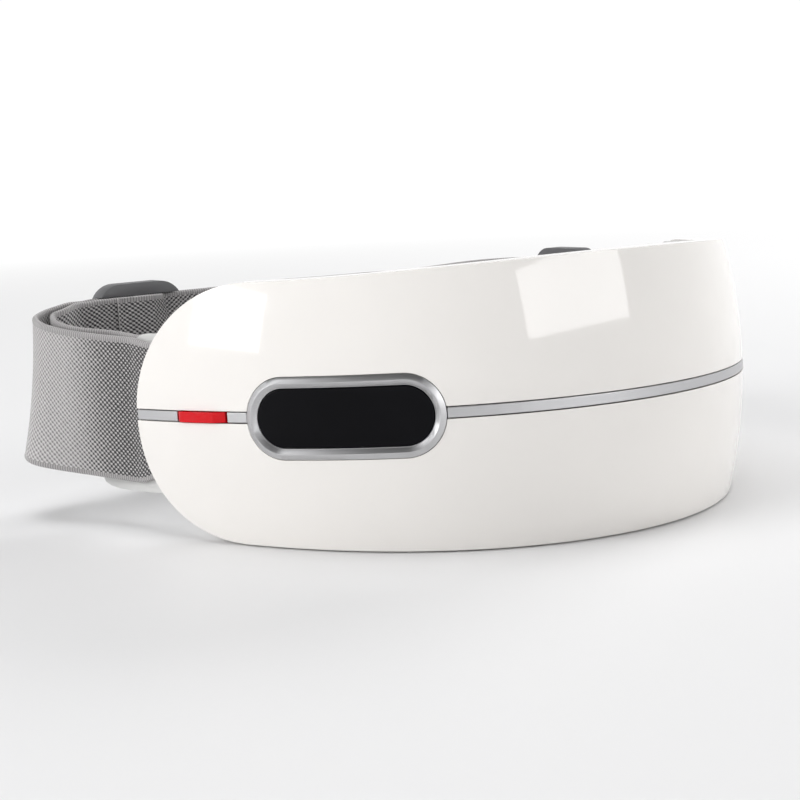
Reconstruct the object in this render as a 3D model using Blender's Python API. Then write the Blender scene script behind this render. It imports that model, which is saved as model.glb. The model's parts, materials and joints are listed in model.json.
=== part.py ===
"""Eye massager mask: a curved visor with a silver trim line, pill display, push button and elastic head strap.

Frame: metres, +Z up, front faces -Y, the wearer is at +Y. The mask stands on its lower edge at z = 0 and
the origin is the middle of its footprint.

The layers of the mask are modelled unrolled, in millimetres: x is the arc length s along the trim line, y is
the depth d behind the front surface and z is the height above the trim line. wrap() rolls them onto the plan
curve.
"""
import math

import bmesh
import bpy
import numpy as np
from mathutils import Matrix, Vector

MM = 0.001

# ---- driving dimensions, millimetres -------------------------------------------------------------
HEIGHT = 78.0                # full height at the middle
HALF_ARC = 158.5             # arc length from the middle to the tip of an end cap
TRIM_Z = 39.2                # trim line's height at the middle
TRIM_DROP = 0.0324           # fall of the trim line for each mm that it runs back
RAKE = 0.0148                # lean of the front
BARREL_R = 153.3             # vertical curvature of the front
TURN_REF = 91.8              # arc length that the plan curve's turning is stated for
TURN = (1.0815, -0.1395, 0.0131)     # turning in radians, for odd powers of s / TURN_REF
TOP_FALL = (-4.54, 1.12)     # top edge's fall, for even powers of s / TURN_REF
ORIGIN = (-4.41, 94.34)      # footprint's middle, measured from the middle of the front

CAP_START, CAP_LENGTH = 118.0, 40.5
CAP_TOP_POWER, CAP_BOTTOM_POWER = 2.0, 2.3
SHELL_T = 2.2                # wall of the front shells
SHELL_RIM_T = 2.0
SHELL_RIM_DEPTH = 7.0        # how far the rim of the front shells reaches back
SHELL_LIFT = 0.6             # shells' lower edge above the table
GAP = 0.3

TRIM_H = 2.9                 # height of the trim strip
TRIM_T = 2.3
DISPLAY_S = -87.9            # display's middle, towards the wearer's right
BEZEL_HALF_L, BEZEL_HALF_H = 28.6, 11.5
WINDOW_HALF_L, WINDOW_HALF_H = 25.3, 8.1
BUTTON_S, BUTTON_L = -132.0, 18.0
BUTTON_PROUD = 1.0

HOUSING_CAP_START, HOUSING_CAP_LENGTH = 110.0, 36.5
HOUSING_D0, HOUSING_D1 = 7.4, 22.0
HOUSING_T = 2.0
NOSE_WIDTH, NOSE_RISE = 15.0, 17.0
END_SQUEEZE, CUSHION_SQUEEZE = 0.25, 0.6

CUSHION_CAP_START, CUSHION_CAP_LENGTH = 100.0, 37.0
CUSHION_D0, CUSHION_D1 = 22.4, 33.0
EYE_S, EYE_Z = 33.0, 3.0
EYE_HALF_L, EYE_HALF_H = 22.0, 16.0

LUG_D0, LUG_D1 = 5.9, 8.5
LUG_HALF_H, SLOT_HALF_H = 22.5, 20.6
LUG_TIP, LUG_BAR, LUG_SLOT, LUG_ROOT = 169.0, 153.5, 147.2, 127.0
LUG_SLANT = 0.25             # the right lug's tip is cut aslant: longer below
LUG_FOOT = ((154.0, -24.2), (178.0, -24.2), (183.0, -23.7), (186.3, -22.7), (187.4, -21.3), (187.0, -20.1),
            (182.0, -20.8), (172.0, -21.8), (154.0, -22.0))     # lip under the band, at the right lug

STRAP_W, STRAP_T = 40.0, 1.4
SLIDER_L, SLIDER_H = 30.0, 48.0
SLIDER_LEFT_X, SLIDER_RIGHT_Y = -70.5, 156.5
STRAP_BACK_Y, STRAP_RIGHT_X = 165.0, 105.5
BACK_STRAP_Z = 44.8


# ---- plan curve ----------------------------------------------------------------------------------
def turning(s):
    """Angle of the plan curve's tangent at arc length s."""
    u = s / TURN_REF
    return TURN[0] * u + TURN[1] * u ** 3 + TURN[2] * u ** 5


STEP = 0.25
ARC = np.arange(0.0, 200.0, STEP)
_MID = turning(ARC[:-1] + STEP / 2)
PLAN_X = np.concatenate([[0.0], np.cumsum(np.cos(_MID) * STEP)])
PLAN_Y = np.concatenate([[0.0], np.cumsum(np.sin(_MID) * STEP)])


def stretch(s, d):
    """How much wider along s a hole is drawn in the unrolled mask, to come out round at depth d."""
    bend = (turning(s + 1.0) - turning(s - 1.0)) / 2.0
    return 1.0 / (1.0 - bend * d)


def plan_y(s):
    return float(np.interp(abs(s), ARC, PLAN_Y))


def plan_x(s):
    return math.copysign(float(np.interp(abs(s), ARC, PLAN_X)), s)


def barrel(z):
    return BARREL_R - math.sqrt(BARREL_R ** 2 - z * z)


def trim_height(s):
    return TRIM_Z - TRIM_DROP * plan_y(s)


def smooth(t):
    t = min(max(t, 0.0), 1.0)
    return t * t * (3 - 2 * t)


def real_depth(s, d):
    """Depth after the rear layers are thinned towards the temples."""
    ease = smooth((abs(s) - 50.0) / 95.0)
    if d <= HOUSING_D0:
        return d
    rear = min(d, HOUSING_D1) - HOUSING_D0
    out = HOUSING_D0 + rear * (1 - ease * (1 - END_SQUEEZE))
    if d > HOUSING_D1:
        out += (d - HOUSING_D1) * (1 - ease * (1 - CUSHION_SQUEEZE))
    return out


def wrap(s, d, z, curved=True):
    """World position, in metres, of a point of the unrolled mask.

    Upright pieces leave out the front's curve.
    """
    a = turning(s)
    depth = real_depth(s, d) + (barrel(z) if curved else 0.0)
    x = plan_x(s) - depth * math.sin(a)
    y = plan_y(s) + depth * math.cos(a) + (RAKE * z if curved else 0.0)
    return Vector(((x - ORIGIN[0]) * MM, (y - ORIGIN[1]) * MM, (trim_height(s) + z) * MM))


def world(x, y, z):
    """World position, in metres, of a plan point measured from the middle of the front."""
    return Vector(((x - ORIGIN[0]) * MM, (y - ORIGIN[1]) * MM, z * MM))


# ---- outlines of the unrolled mask ---------------------------------------------------------------
def top_edge(s):
    u = s / TURN_REF
    return HEIGHT + TOP_FALL[0] * u ** 2 + TOP_FALL[1] * u ** 4 - trim_height(s)


def outline(cap_start, cap_length, drop, lift, nose=0.0, step=7.0, end_drop=None):
    """Closed outline (s, z) with rounded end caps.

    The top edge is lowered by drop, at the temples by end_drop; the lower edge is raised by lift.
    """
    def low(s):
        return -trim_height(s) + lift + nose * math.exp(-(s / NOSE_WIDTH) ** 2)

    def high(s):
        last = drop if end_drop is None else end_drop
        return top_edge(s) - drop - (last - drop) * smooth((abs(s) - 60.0) / 35.0)

    count = max(2, round(2 * cap_start / step))
    run = [-cap_start + 2 * cap_start * i / count for i in range(count + 1)]
    turns = 11
    points = [(s, high(s)) for s in reversed(run)]
    for i in range(1, 2 * turns):
        a = math.pi * i / (2 * turns)
        power, base = (CAP_TOP_POWER, high(-cap_start)) if i <= turns else (CAP_BOTTOM_POWER, low(-cap_start))
        c, q = abs(math.cos(a)) ** (2 / power), math.sin(a) ** (2 / power)
        points.append((-cap_start - cap_length * q, base * c))
    points += [(s, low(s)) for s in run]
    for i in range(1, 2 * turns):
        a = math.pi * i / (2 * turns)
        power, base = (CAP_BOTTOM_POWER, low(cap_start)) if i <= turns else (CAP_TOP_POWER, high(cap_start))
        c, q = abs(math.cos(a)) ** (2 / power), math.sin(a) ** (2 / power)
        points.append((cap_start + cap_length * q, base * c))
    return points


def inset(points, t):
    """The outline moved inwards by t. Points run anticlockwise with s to the right and z up."""
    out = []
    for i, p in enumerate(points):
        a = Vector(points[i - 1])
        b = Vector(points[(i + 1) % len(points)])
        along = (b - a).normalized()
        out.append((p[0] - along.y * t, p[1] + along.x * t))
    return out


def pill(s, z, half_l, half_h, turns=9):
    """Stadium outline with elliptical ends."""
    points = []
    for side in (1, -1):
        for i in range(turns + 1):
            a = -math.pi / 2 + math.pi * i / turns
            reach = half_l - half_h + half_h * math.cos(a)
            points.append((s + side * reach, z + side * half_h * math.sin(a)))
    return points


def ellipse(s, z, a, b, count=28):
    return [(s + a * math.cos(2 * math.pi * i / count), z + b * math.sin(2 * math.pi * i / count))
            for i in range(count)]


def rounded_rect(x0, x1, z0, z1, r, turns=3):
    points = []
    corners = ((x1 - r, z0 + r, -90), (x1 - r, z1 - r, 0), (x0 + r, z1 - r, 90), (x0 + r, z0 + r, 180))
    for cx, cz, start in corners:
        for i in range(turns + 1):
            a = math.radians(start + 90 * i / turns)
            points.append((cx + r * math.cos(a), cz + r * math.sin(a)))
    return points


# ---- mesh helpers --------------------------------------------------------------------------------
def clear_scene():
    for obj in list(bpy.data.objects):
        bpy.data.objects.remove(obj, do_unlink=True)


def material(name, colour, roughness, metallic=0.0):
    found = bpy.data.materials.get(name)
    if found:
        return found
    made = bpy.data.materials.new(name)
    made.use_nodes = True
    shader = made.node_tree.nodes["Principled BSDF"]
    shader.inputs["Base Color"].default_value = (*colour, 1.0)
    shader.inputs["Roughness"].default_value = roughness
    shader.inputs["Metallic"].default_value = metallic
    return made


def finishes():
    return {
        "white": material("white_gloss", (0.86, 0.84, 0.81), 0.12),
        "silver": material("satin_silver", (0.66, 0.66, 0.68), 0.32, 1.0),
        "black": material("black_gloss", (0.006, 0.006, 0.008), 0.05),
        "red": material("red_gloss", (0.62, 0.01, 0.012), 0.15),
        "pale": material("pale_plastic", (0.62, 0.62, 0.62), 0.45),
        "leather": material("grey_leather", (0.16, 0.16, 0.17), 0.6),
        "fabric": material("eye_fabric", (0.22, 0.22, 0.23), 0.85),
        "webbing": material("elastic_webbing", (0.28, 0.27, 0.28), 0.9),
        "dark": material("dark_plastic", (0.09, 0.09, 0.10), 0.4),
        "board": material("circuit_board", (0.02, 0.16, 0.08), 0.5),
        "steel": material("steel", (0.55, 0.55, 0.56), 0.3, 1.0),
        "brass": material("weight_metal", (0.45, 0.40, 0.30), 0.35, 1.0),
        "film": material("heater_film", (0.55, 0.30, 0.08), 0.4),
        "bladder": material("air_bladder", (0.70, 0.70, 0.72), 0.5),
        "foil": material("battery_foil", (0.50, 0.52, 0.55), 0.3, 0.6),
        "rubber": material("tube_rubber", (0.60, 0.60, 0.60), 0.6),
    }


def new_object(name, mesh, finish=None):
    obj = bpy.data.objects.new(name, mesh)
    bpy.context.scene.collection.objects.link(obj)
    if finish:
        mesh.materials.append(finish)
    return obj


def prism(points, d0, d1, name="shape"):
    """Unrolled outline (s, z), extruded in depth from d0 to d1."""
    bm = bmesh.new()
    front = [bm.verts.new((s, d0, z)) for s, z in points]
    face = bm.faces.new(front)
    bmesh.ops.recalc_face_normals(bm, faces=[face])
    made = bmesh.ops.extrude_face_region(bm, geom=[face])
    moved = [v for v in made["geom"] if isinstance(v, bmesh.types.BMVert)]
    bmesh.ops.translate(bm, vec=(0, d1 - d0, 0), verts=moved)
    bmesh.ops.recalc_face_normals(bm, faces=bm.faces)
    mesh = bpy.data.meshes.new(name)
    bm.to_mesh(mesh)
    bm.free()
    return new_object(name, mesh)


def box(x0, x1, y0, y1, z0, z1, name="shape"):
    return prism([(x0, z0), (x1, z0), (x1, z1), (x0, z1)], y0, y1, name)


def round_prism(s, z, radius, d0, d1, sides=14):
    """Unrolled cylinder through the layers, round once it is wrapped."""
    wide = radius * stretch(s, real_depth(s, d1) + barrel(z))
    return prism(ellipse(s, z, wide, radius, sides), d0, d1)


def cylinder(centre, radius, length, axis="Y", sides=20, name="shape"):
    """Cylinder whose middle is at centre, in millimetres."""
    bm = bmesh.new()
    bmesh.ops.create_cone(bm, cap_ends=True, segments=sides, radius1=radius, radius2=radius, depth=length)
    turn = {"X": Matrix.Rotation(math.pi / 2, 4, "Y"), "Y": Matrix.Rotation(math.pi / 2, 4, "X"),
            "Z": Matrix.Identity(4)}[axis]
    bmesh.ops.transform(bm, matrix=Matrix.Translation(centre) @ turn, verts=bm.verts)
    mesh = bpy.data.meshes.new(name)
    bm.to_mesh(mesh)
    bm.free()
    return new_object(name, mesh)


def combine(obj, others, operation):
    """Boolean obj with each of the others, which are used up."""
    for other in others:
        mod = obj.modifiers.new("shape", "BOOLEAN")
        mod.operation = operation
        mod.solver = "EXACT"
        mod.object = other
    graph = bpy.context.evaluated_depsgraph_get()
    graph.update()
    mesh = bpy.data.meshes.new_from_object(obj.evaluated_get(graph))
    obj.modifiers.clear()
    obj.data = mesh
    for other in others:
        bpy.data.objects.remove(other, do_unlink=True)
    return obj


def cut(obj, *others):
    return combine(obj, others, "DIFFERENCE")


def join(obj, *others):
    return combine(obj, others, "UNION")


def keep_inside(obj, other):
    return combine(obj, [other], "INTERSECT")


def slice_mesh(bm, step_s, step_z):
    for axis, step in ((0, step_s), (2, step_z)):
        if not step:
            continue
        low = min(v.co[axis] for v in bm.verts)
        high = max(v.co[axis] for v in bm.verts)
        normal = Vector((0, 0, 0))
        normal[axis] = 1
        for k in range(math.ceil((low + 0.2) / step), math.floor((high - 0.2) / step) + 1):
            at = Vector((0, 0, 0))
            at[axis] = k * step
            geom = list(bm.verts) + list(bm.edges) + list(bm.faces)
            bmesh.ops.bisect_plane(bm, geom=geom, plane_co=at, plane_no=normal, dist=0.001)


def finish_mesh(obj, name, finish, sharp=35.0):
    obj.name = name
    obj.data.name = name
    obj.data.materials.clear()
    obj.data.materials.append(finish)
    obj.data.shade_smooth()
    obj.data.set_sharp_from_angle(angle=math.radians(sharp))
    return obj


def roll_up(obj, name, finish, step_s=7.5, step_z=13.0, curved=True):
    """Slice an unrolled solid, wrap it onto the mask and name it."""
    bm = bmesh.new()
    bm.from_mesh(obj.data)
    bmesh.ops.remove_doubles(bm, verts=bm.verts, dist=0.002)
    slice_mesh(bm, step_s, step_z)
    flat = [f for f in bm.faces if len(f.verts) > 4]
    bmesh.ops.triangulate(bm, faces=flat)
    for v in bm.verts:
        v.co = wrap(*v.co, curved)
    bmesh.ops.recalc_face_normals(bm, faces=bm.faces)
    bm.to_mesh(obj.data)
    bm.free()
    return finish_mesh(obj, name, finish)


def seat(obj, name, finish, s, d, z, curved=True):
    """Put a rigid piece, modelled in millimetres about its own middle, at a place in the unrolled mask."""
    obj.data.transform(Matrix.Scale(MM, 4))
    obj.location = wrap(s, d, z, curved)
    obj.rotation_euler.z = turning(s)
    return finish_mesh(obj, name, finish)


# ---- front shells --------------------------------------------------------------------------------
SCREW_PLACES = ((-66.0, 27.0), (66.0, 27.0), (-66.0, -27.0), (66.0, -27.0))
BOSS_R, SCREW_R, SCREW_HEAD_R = 2.8, 0.9, 1.9
BOSS_END = 12.0


def front_shell(name, upper, finish):
    skin = outline(CAP_START, CAP_LENGTH, 0.0, SHELL_LIFT)
    shell = prism(skin, 0.0, SHELL_RIM_DEPTH)
    cut(shell, prism(inset(skin, SHELL_RIM_T), SHELL_T, SHELL_RIM_DEPTH + 5))
    bosses = []
    lug_z = LUG_SCREW_Z if upper else -LUG_SCREW_Z
    for s, z in SCREW_PLACES:
        if (z > 0) == upper:
            bosses.append(round_prism(s, z, BOSS_R, SHELL_T - 0.8, BOSS_END, sides=12))
    for side in (-1, 1):
        bosses.append(round_prism(side * LUG_SCREW_S, lug_z, BOSS_R, SHELL_T - 0.8, LUG_D0 - 2.0, sides=12))
    join(shell, *bosses)
    edge = TRIM_H / 2 + GAP
    half = box(-200, 200, -5, 30, edge, 80) if upper else box(-200, 200, -5, 30, -80, -edge)
    keep_inside(shell, half)
    holes = [prism(pill(DISPLAY_S, 0, BEZEL_HALF_L + GAP, BEZEL_HALF_H + GAP), -3, 10)]
    for side in (-1, 1):
        mouth = sorted((side * 137.0, side * 175.0))
        holes.append(round_prism(side * LUG_SCREW_S, lug_z, SCREW_R + GAP, 2.9, 12, sides=10))
        holes.append(box(*mouth, SHELL_T + 0.15, 30, -LUG_HALF_H - 1, LUG_HALF_H + 1))
    for s, z in SCREW_PLACES:
        if (z > 0) == upper:
            holes.append(round_prism(s, z, SCREW_R + GAP, 4.5, BOSS_END + 3, sides=10))
    cut(shell, *holes)
    return roll_up(shell, name, finish)


# ---- trim, display and button --------------------------------------------------------------------
def strip(s0, s1):
    return box(min(s0, s1), max(s0, s1), 0.05, TRIM_T, -TRIM_H / 2, TRIM_H / 2)


def make_trim(look):
    ring = prism(pill(DISPLAY_S, 0, BEZEL_HALF_L, BEZEL_HALF_H), -0.7, 4.2)
    ledge = prism(pill(DISPLAY_S, 0, BEZEL_HALF_L - 1.7, BEZEL_HALF_H - 1.7), -2.0, -0.35)
    inner_stub = strip(BUTTON_S + BUTTON_L / 2 + GAP, DISPLAY_S - BEZEL_HALF_L + 1)
    long_run = strip(DISPLAY_S + BEZEL_HALF_L - 1, HALF_ARC - 0.1)
    join(ring, inner_stub, long_run)
    cut(ring, ledge, prism(pill(DISPLAY_S, 0, WINDOW_HALF_L + GAP, WINDOW_HALF_H + GAP), -3, 9))
    roll_up(ring, "display_bezel_trim", look["silver"], step_z=0)
    tip = strip(-HALF_ARC + 0.1, BUTTON_S - BUTTON_L / 2 - GAP)
    roll_up(tip, "trim_tip", look["silver"], step_z=0)


def make_display(look):
    window = prism(pill(DISPLAY_S, 0, WINDOW_HALF_L, WINDOW_HALF_H), -0.15, 1.6)
    roll_up(window, "display_window", look["black"], step_z=0)
    module = box(-19, 19, -1.4, 1.4, -5.5, 5.5)
    seat(module, "display_module", look["dark"], DISPLAY_S, 5.6, 0)
    board = box(-21.5, 21.5, -0.6, 0.6, -9.5, 9.5)
    seat(board, "display_board", look["board"], DISPLAY_S, 8.1, 0)


def make_button(look):
    half_l, half_h = BUTTON_L / 2, TRIM_H / 2 - 0.05
    slope = 2.2
    bm = bmesh.new()
    profile = ((-half_l, 0.1), (-half_l + slope, -BUTTON_PROUD), (half_l - slope, -BUTTON_PROUD), (half_l, 0.1),
               (half_l, 2.6), (-half_l, 2.6))
    face = bm.faces.new([bm.verts.new((BUTTON_S + x, y, -half_h)) for x, y in profile])
    made = bmesh.ops.extrude_face_region(bm, geom=[face])
    moved = [v for v in made["geom"] if isinstance(v, bmesh.types.BMVert)]
    bmesh.ops.translate(bm, vec=(0, 0, 2 * half_h), verts=moved)
    bmesh.ops.recalc_face_normals(bm, faces=bm.faces)
    mesh = bpy.data.meshes.new("button")
    bm.to_mesh(mesh)
    bm.free()
    button = new_object("button", mesh)
    join(button, box(BUTTON_S - half_l, BUTTON_S + half_l, 2.55, 3.4, -4.5, 4.5))
    roll_up(button, "power_button", look["red"], step_z=0)
    switch = join(box(-3, 3, -0.4, 1.2, -3, 3), cylinder((0, -0.6, 0), 1.3, 1.0, sides=12))
    seat(switch, "power_switch", look["dark"], BUTTON_S, 5.6, 0)
    board = box(-8, 8, -0.5, 0.5, -6, 6)
    seat(board, "switch_board", look["board"], BUTTON_S, 7.7, 0)


# ---- rear housing, cushion and eye pads ----------------------------------------------------------
PORT_S, PORT_HALF_L, PORT_HALF_D = 84.0, 4.6, 1.75
PORT_D = 13.0


def make_housing(look):
    edge = outline(HOUSING_CAP_START, HOUSING_CAP_LENGTH, 2.1, 0.0, nose=NOSE_RISE, end_drop=0.2)
    tray = prism(edge, HOUSING_D0, HOUSING_D1)
    cut(tray, prism(inset(edge, HOUSING_T), HOUSING_D0 - 5, HOUSING_D1 - HOUSING_T))
    posts = [round_prism(s, z, BOSS_R, BOSS_END + GAP + 0.2, HOUSING_D1 - 0.8, sides=12)
             for s, z in SCREW_PLACES]
    join(tray, *posts)
    holes = []
    for s, z in SCREW_PLACES:
        holes.append(round_prism(s, z, SCREW_R + GAP, BOSS_END - 1, HOUSING_D1 + 2, sides=10))
        holes.append(round_prism(s, z, SCREW_HEAD_R + GAP, HOUSING_D1 - 2.4, HOUSING_D1 + 2, sides=12))
    for side in (-1, 1):
        holes.append(round_prism(side * EYE_S, EYE_Z, 2.8, HOUSING_D1 - 5, HOUSING_D1 + 3))
        notch = sorted((side * 134.0, side * 160.0))
        holes.append(box(*notch, 2, HOUSING_D0 + 8, -LUG_HALF_H - 1, LUG_HALF_H + 1))
    low = -trim_height(PORT_S)
    wide = (PORT_HALF_L + 0.7) * stretch(PORT_S, 18.0)
    holes.append(box(PORT_S - wide, PORT_S + wide, PORT_D - PORT_HALF_D - 1.2, PORT_D + PORT_HALF_D + 2.2,
                     low - 2, low + 6))
    cut(tray, *holes)
    roll_up(tray, "rear_housing", look["pale"])


def make_cushion(look):
    edge = outline(CUSHION_CAP_START, CUSHION_CAP_LENGTH, 4.0, 3.0, nose=NOSE_RISE + 6, end_drop=0.8)
    pad = prism(edge, CUSHION_D0, CUSHION_D1)
    rims = [ellipse(side * EYE_S, EYE_Z, EYE_HALF_L + 0.8, EYE_HALF_H + 0.8) for side in (-1, 1)]
    holes = [prism(rim, CUSHION_D0 - 3, CUSHION_D1 + 3) for rim in rims]
    cut(pad, *holes)
    roll_up(pad, "face_cushion", look["leather"])
    for side, hand in ((-1, "right"), (1, "left")):
        s = side * EYE_S
        bag = prism(ellipse(s, EYE_Z, EYE_HALF_L - 1.5, EYE_HALF_H - 1.5, 20), 22.5, 25.4)
        join(bag, round_prism(s, EYE_Z, 1.5, 19.6, 22.9, sides=10))
        roll_up(bag, "air_bladder_" + hand, look["bladder"], step_s=9, step_z=9)
        film = prism(ellipse(s, EYE_Z, EYE_HALF_L - 2.5, EYE_HALF_H - 2.5, 20), 25.8, 26.4)
        roll_up(film, "heater_film_" + hand, look["film"], step_s=9, step_z=9)
        cover = prism(ellipse(s, EYE_Z, EYE_HALF_L, EYE_HALF_H), 26.8, 31.0)
        roll_up(cover, "eye_pad_" + hand, look["fabric"], step_s=9, step_z=9)


# ---- works inside the housing --------------------------------------------------------------------
VIBE_S, VIBE_Z, VIBE_D = 58.0, -16.0, 12.0
PUMP_S, PUMP_Z, PUMP_D = 0.0, 14.0, 11.8


def eccentric(radius, length, shaft_r, sides=14):
    """Half-round weight with a hub, its shaft axis along X through the origin."""
    weight = cylinder((0, 0, 0), radius, length, axis="X", sides=sides)
    cut(weight, box(-20, 20, -20, 20, shaft_r + 0.9, 20))
    return cut(weight, cylinder((0, 0, 0), shaft_r + 0.06, length + 2, axis="X", sides=12))


def make_works(look):
    seat(box(-21, 21, -0.8, 0.8, -9, 9), "main_board", look["board"], -14.0, 12.0, -9)
    cell = prism(rounded_rect(-20, 20, -15, 15, 2.0), -3.8, 3.8)
    seat(cell, "battery_cell", look["foil"], 43.0, 10.7, 4)
    motor = cylinder((-7, 0, 0), 6.0, 18, axis="X", sides=18)
    join(motor, cylinder((4.5, 0, 0), 1.0, 7, axis="X", sides=12))
    seat(motor, "pump_motor", look["steel"], PUMP_S, PUMP_D, PUMP_Z)
    throw = eccentric(3.4, 3.0, 1.0)
    throw.data.transform(Matrix.Translation((5.6, 0, 0)))
    seat(throw, "pump_crank", look["brass"], PUMP_S, PUMP_D, PUMP_Z)
    head = box(3.0, 15.0, -5.8, 5.8, -7, 7)
    cut(head, box(2.0, 9.0, -4.6, 4.6, -5, 5))
    join(head, cylinder((12.5, 0, 8.0), 1.5, 4, axis="Z", sides=10))
    seat(head, "pump_head", look["dark"], PUMP_S, PUMP_D, PUMP_Z)
    valve = join(box(-5, 5, -4.5, 4.5, -7, 7), cylinder((0, 0, 8.6), 1.5, 4, axis="Z", sides=10))
    seat(valve, "air_valve", look["steel"], -52.0, 11.0, 15)
    for side, hand in ((-1, "right"), (1, "left")):
        s = side * VIBE_S
        can = join(cylinder((0, 0, 0), 4.5, 12, axis="X"), cylinder((7.5, 0, 0), 0.7, 5, axis="X", sides=12))
        seat(can, "vibration_motor_" + hand, look["steel"], s, VIBE_D, VIBE_Z)
        weight = eccentric(3.6, 3.0, 0.7)
        weight.data.transform(Matrix.Translation((8.4, 0, 0)))
        seat(weight, "vibration_weight_" + hand, look["brass"], s, VIBE_D, VIBE_Z)
    seat(cylinder((0, 0, 0), 8.5, 4.0, sides=24), "voice_speaker", look["dark"], 100.0, 9.6, 3)
    low = -trim_height(PORT_S)
    port = prism(rounded_rect(-PORT_HALF_L, PORT_HALF_L, -PORT_HALF_D, PORT_HALF_D, 1.6), 0, 7)
    in_l, in_d = PORT_HALF_L - 0.5, PORT_HALF_D - 0.5
    cut(port, prism(rounded_rect(-in_l, in_l, -in_d, in_d, 1.2), -1, 5.5))
    port.data.transform(Matrix.Rotation(math.pi / 2, 4, "X"))
    seat(port, "charge_port", look["steel"], PORT_S, PORT_D, low + 0.4)


def tube(name, route, radius, finish):
    """Soft tube through points in metres, as a bevelled curve with closed ends."""
    curve = bpy.data.curves.new(name, "CURVE")
    curve.dimensions = "3D"
    curve.bevel_depth = radius * MM
    curve.bevel_resolution = 2
    curve.use_fill_caps = True
    spline = curve.splines.new("POLY")
    spline.points.add(len(route) - 1)
    for point, place in zip(spline.points, route):
        point.co = (*place, 1.0)
    curve.materials.append(finish)
    obj = bpy.data.objects.new(name, curve)
    bpy.context.scene.collection.objects.link(obj)
    return obj


def catmull(points, per_span):
    """Smooth curve through hand-placed points."""
    pts = [Vector(p) for p in points]
    pts = [2 * pts[0] - pts[1]] + pts + [2 * pts[-1] - pts[-2]]
    out = []
    for i in range(1, len(pts) - 2):
        p0, p1, p2, p3 = pts[i - 1:i + 3]
        for k in range(per_span):
            t = k / per_span
            out.append(0.5 * ((2 * p1) + (p2 - p0) * t + (2 * p0 - 5 * p1 + 4 * p2 - p3) * t ** 2
                              + (3 * p1 - p0 - 3 * p2 + p3) * t ** 3))
    return out + [pts[-2]]


TEE_S, TEE_D, TEE_Z = 11.0, 16.4, 30.0


def make_air_lines(look):
    tee = cylinder((0, 0, 0), 1.3, 12, axis="X", sides=10)
    join(tee, cylinder((0, 0, -3), 1.3, 6, axis="Z", sides=10))
    seat(tee, "air_tee", look["dark"], TEE_S, TEE_D, TEE_Z)
    for side, hand in ((-1, "right"), (1, "left")):
        start = TEE_S + side * 8.8
        middle = TEE_S + side * 15.0
        port = side * EYE_S
        flat = [(start, TEE_D, TEE_Z), (middle, TEE_D, TEE_Z), ((middle + 2 * port) / 3, 16.6, 27.0),
                (port, 16.8, 20.0), (port, 16.9, 12.0), (port, 16.9, EYE_Z + 4.0), (port, 17.4, EYE_Z + 0.8),
                (port, 18.9, EYE_Z)]
        route = [wrap(*p) for p in catmull(flat, 4)]
        tube("air_tube_" + hand, route, 1.5, look["rubber"])


# ---- strap fittings ------------------------------------------------------------------------------
LUG_SCREW_S, LUG_SCREW_Z = 133.0, 17.5


def make_lug(side, hand, look):
    tip, slant = (LUG_TIP + 2.0, LUG_SLANT) if side < 0 else (LUG_TIP, 0.0)
    edge = rounded_rect(LUG_ROOT, tip, -LUG_HALF_H, LUG_HALF_H, 5.0)
    body = prism([(s - slant * z if s > 160.0 else s, z) for s, z in edge], LUG_D0, LUG_D1)
    slot = box(LUG_SLOT, LUG_BAR, LUG_D0 - 2, LUG_D1 + 2, -SLOT_HALF_H, SLOT_HALF_H)
    bay = box(LUG_ROOT - 2, 144.5, LUG_D0 - 2, LUG_D1 + 2, -11.5, 11.5)
    holes = [round_prism(LUG_SCREW_S, z, SCREW_R + GAP, 2, 11, sides=12) for z in (-LUG_SCREW_Z, LUG_SCREW_Z)]
    cut(body, slot, bay, *holes)
    if side < 0:
        join(body, prism(LUG_FOOT, LUG_D0 + 0.1, LUG_D1 - 0.1))
    body.data.transform(Matrix.Diagonal((side, 1, 1, 1)))
    roll_up(body, "strap_lug_" + hand, look["pale"], step_z=0, curved=False)


def make_screw(name, s, d, z, length, look, curved=True):
    """Pan-head screw, its head towards the wearer."""
    screw = cylinder((0, -length / 2, 0), SCREW_R, length, sides=12)
    join(screw, cylinder((0, 0.55, 0), SCREW_HEAD_R, 1.3, sides=14))
    cut(screw, box(-1.3, 1.3, 0.7, 2, -0.25, 0.25), box(-0.25, 0.25, 0.7, 2, -1.3, 1.3))
    seat(screw, name, look["steel"], s, d, z, curved)


def make_screws(look):
    for i, (s, z) in enumerate(SCREW_PLACES):
        make_screw(f"housing_screw_{i + 1}", s, 20.2, z, 8.0, look)
    count = 1
    for side in (-1, 1):
        for z in (-LUG_SCREW_Z, LUG_SCREW_Z):
            make_screw(f"lug_screw_{count}", side * LUG_SCREW_S, LUG_D1 + 0.4, z, 3.4, look, curved=False)
            count += 1


# ---- strap ---------------------------------------------------------------------------------------
WRAP_D, WRAP_R, WRAP_S = 7.2, 2.3, 151.6


def plan_point(s, d):
    """Plan position, in millimetres, of a point at mid height of the unrolled mask."""
    a = turning(s)
    return (plan_x(s) - d * math.sin(a), plan_y(s) + d * math.cos(a))


def lug_wrap(side):
    """Band from its inner layer, round the lug's bar, to its outer layer: plan points and height above trim."""
    points = [plan_point(side * s, WRAP_D + WRAP_R) for s in (168.0, 162.0, 156.0)]
    for i in range(7):
        a = math.pi / 2 + math.pi * i / 6
        points.append(plan_point(side * (WRAP_S + WRAP_R * math.cos(a)), WRAP_D + WRAP_R * math.sin(a)))
    points += [plan_point(side * s, WRAP_D - WRAP_R) for s in (156.0, 162.0, 168.0)]
    return points


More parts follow.
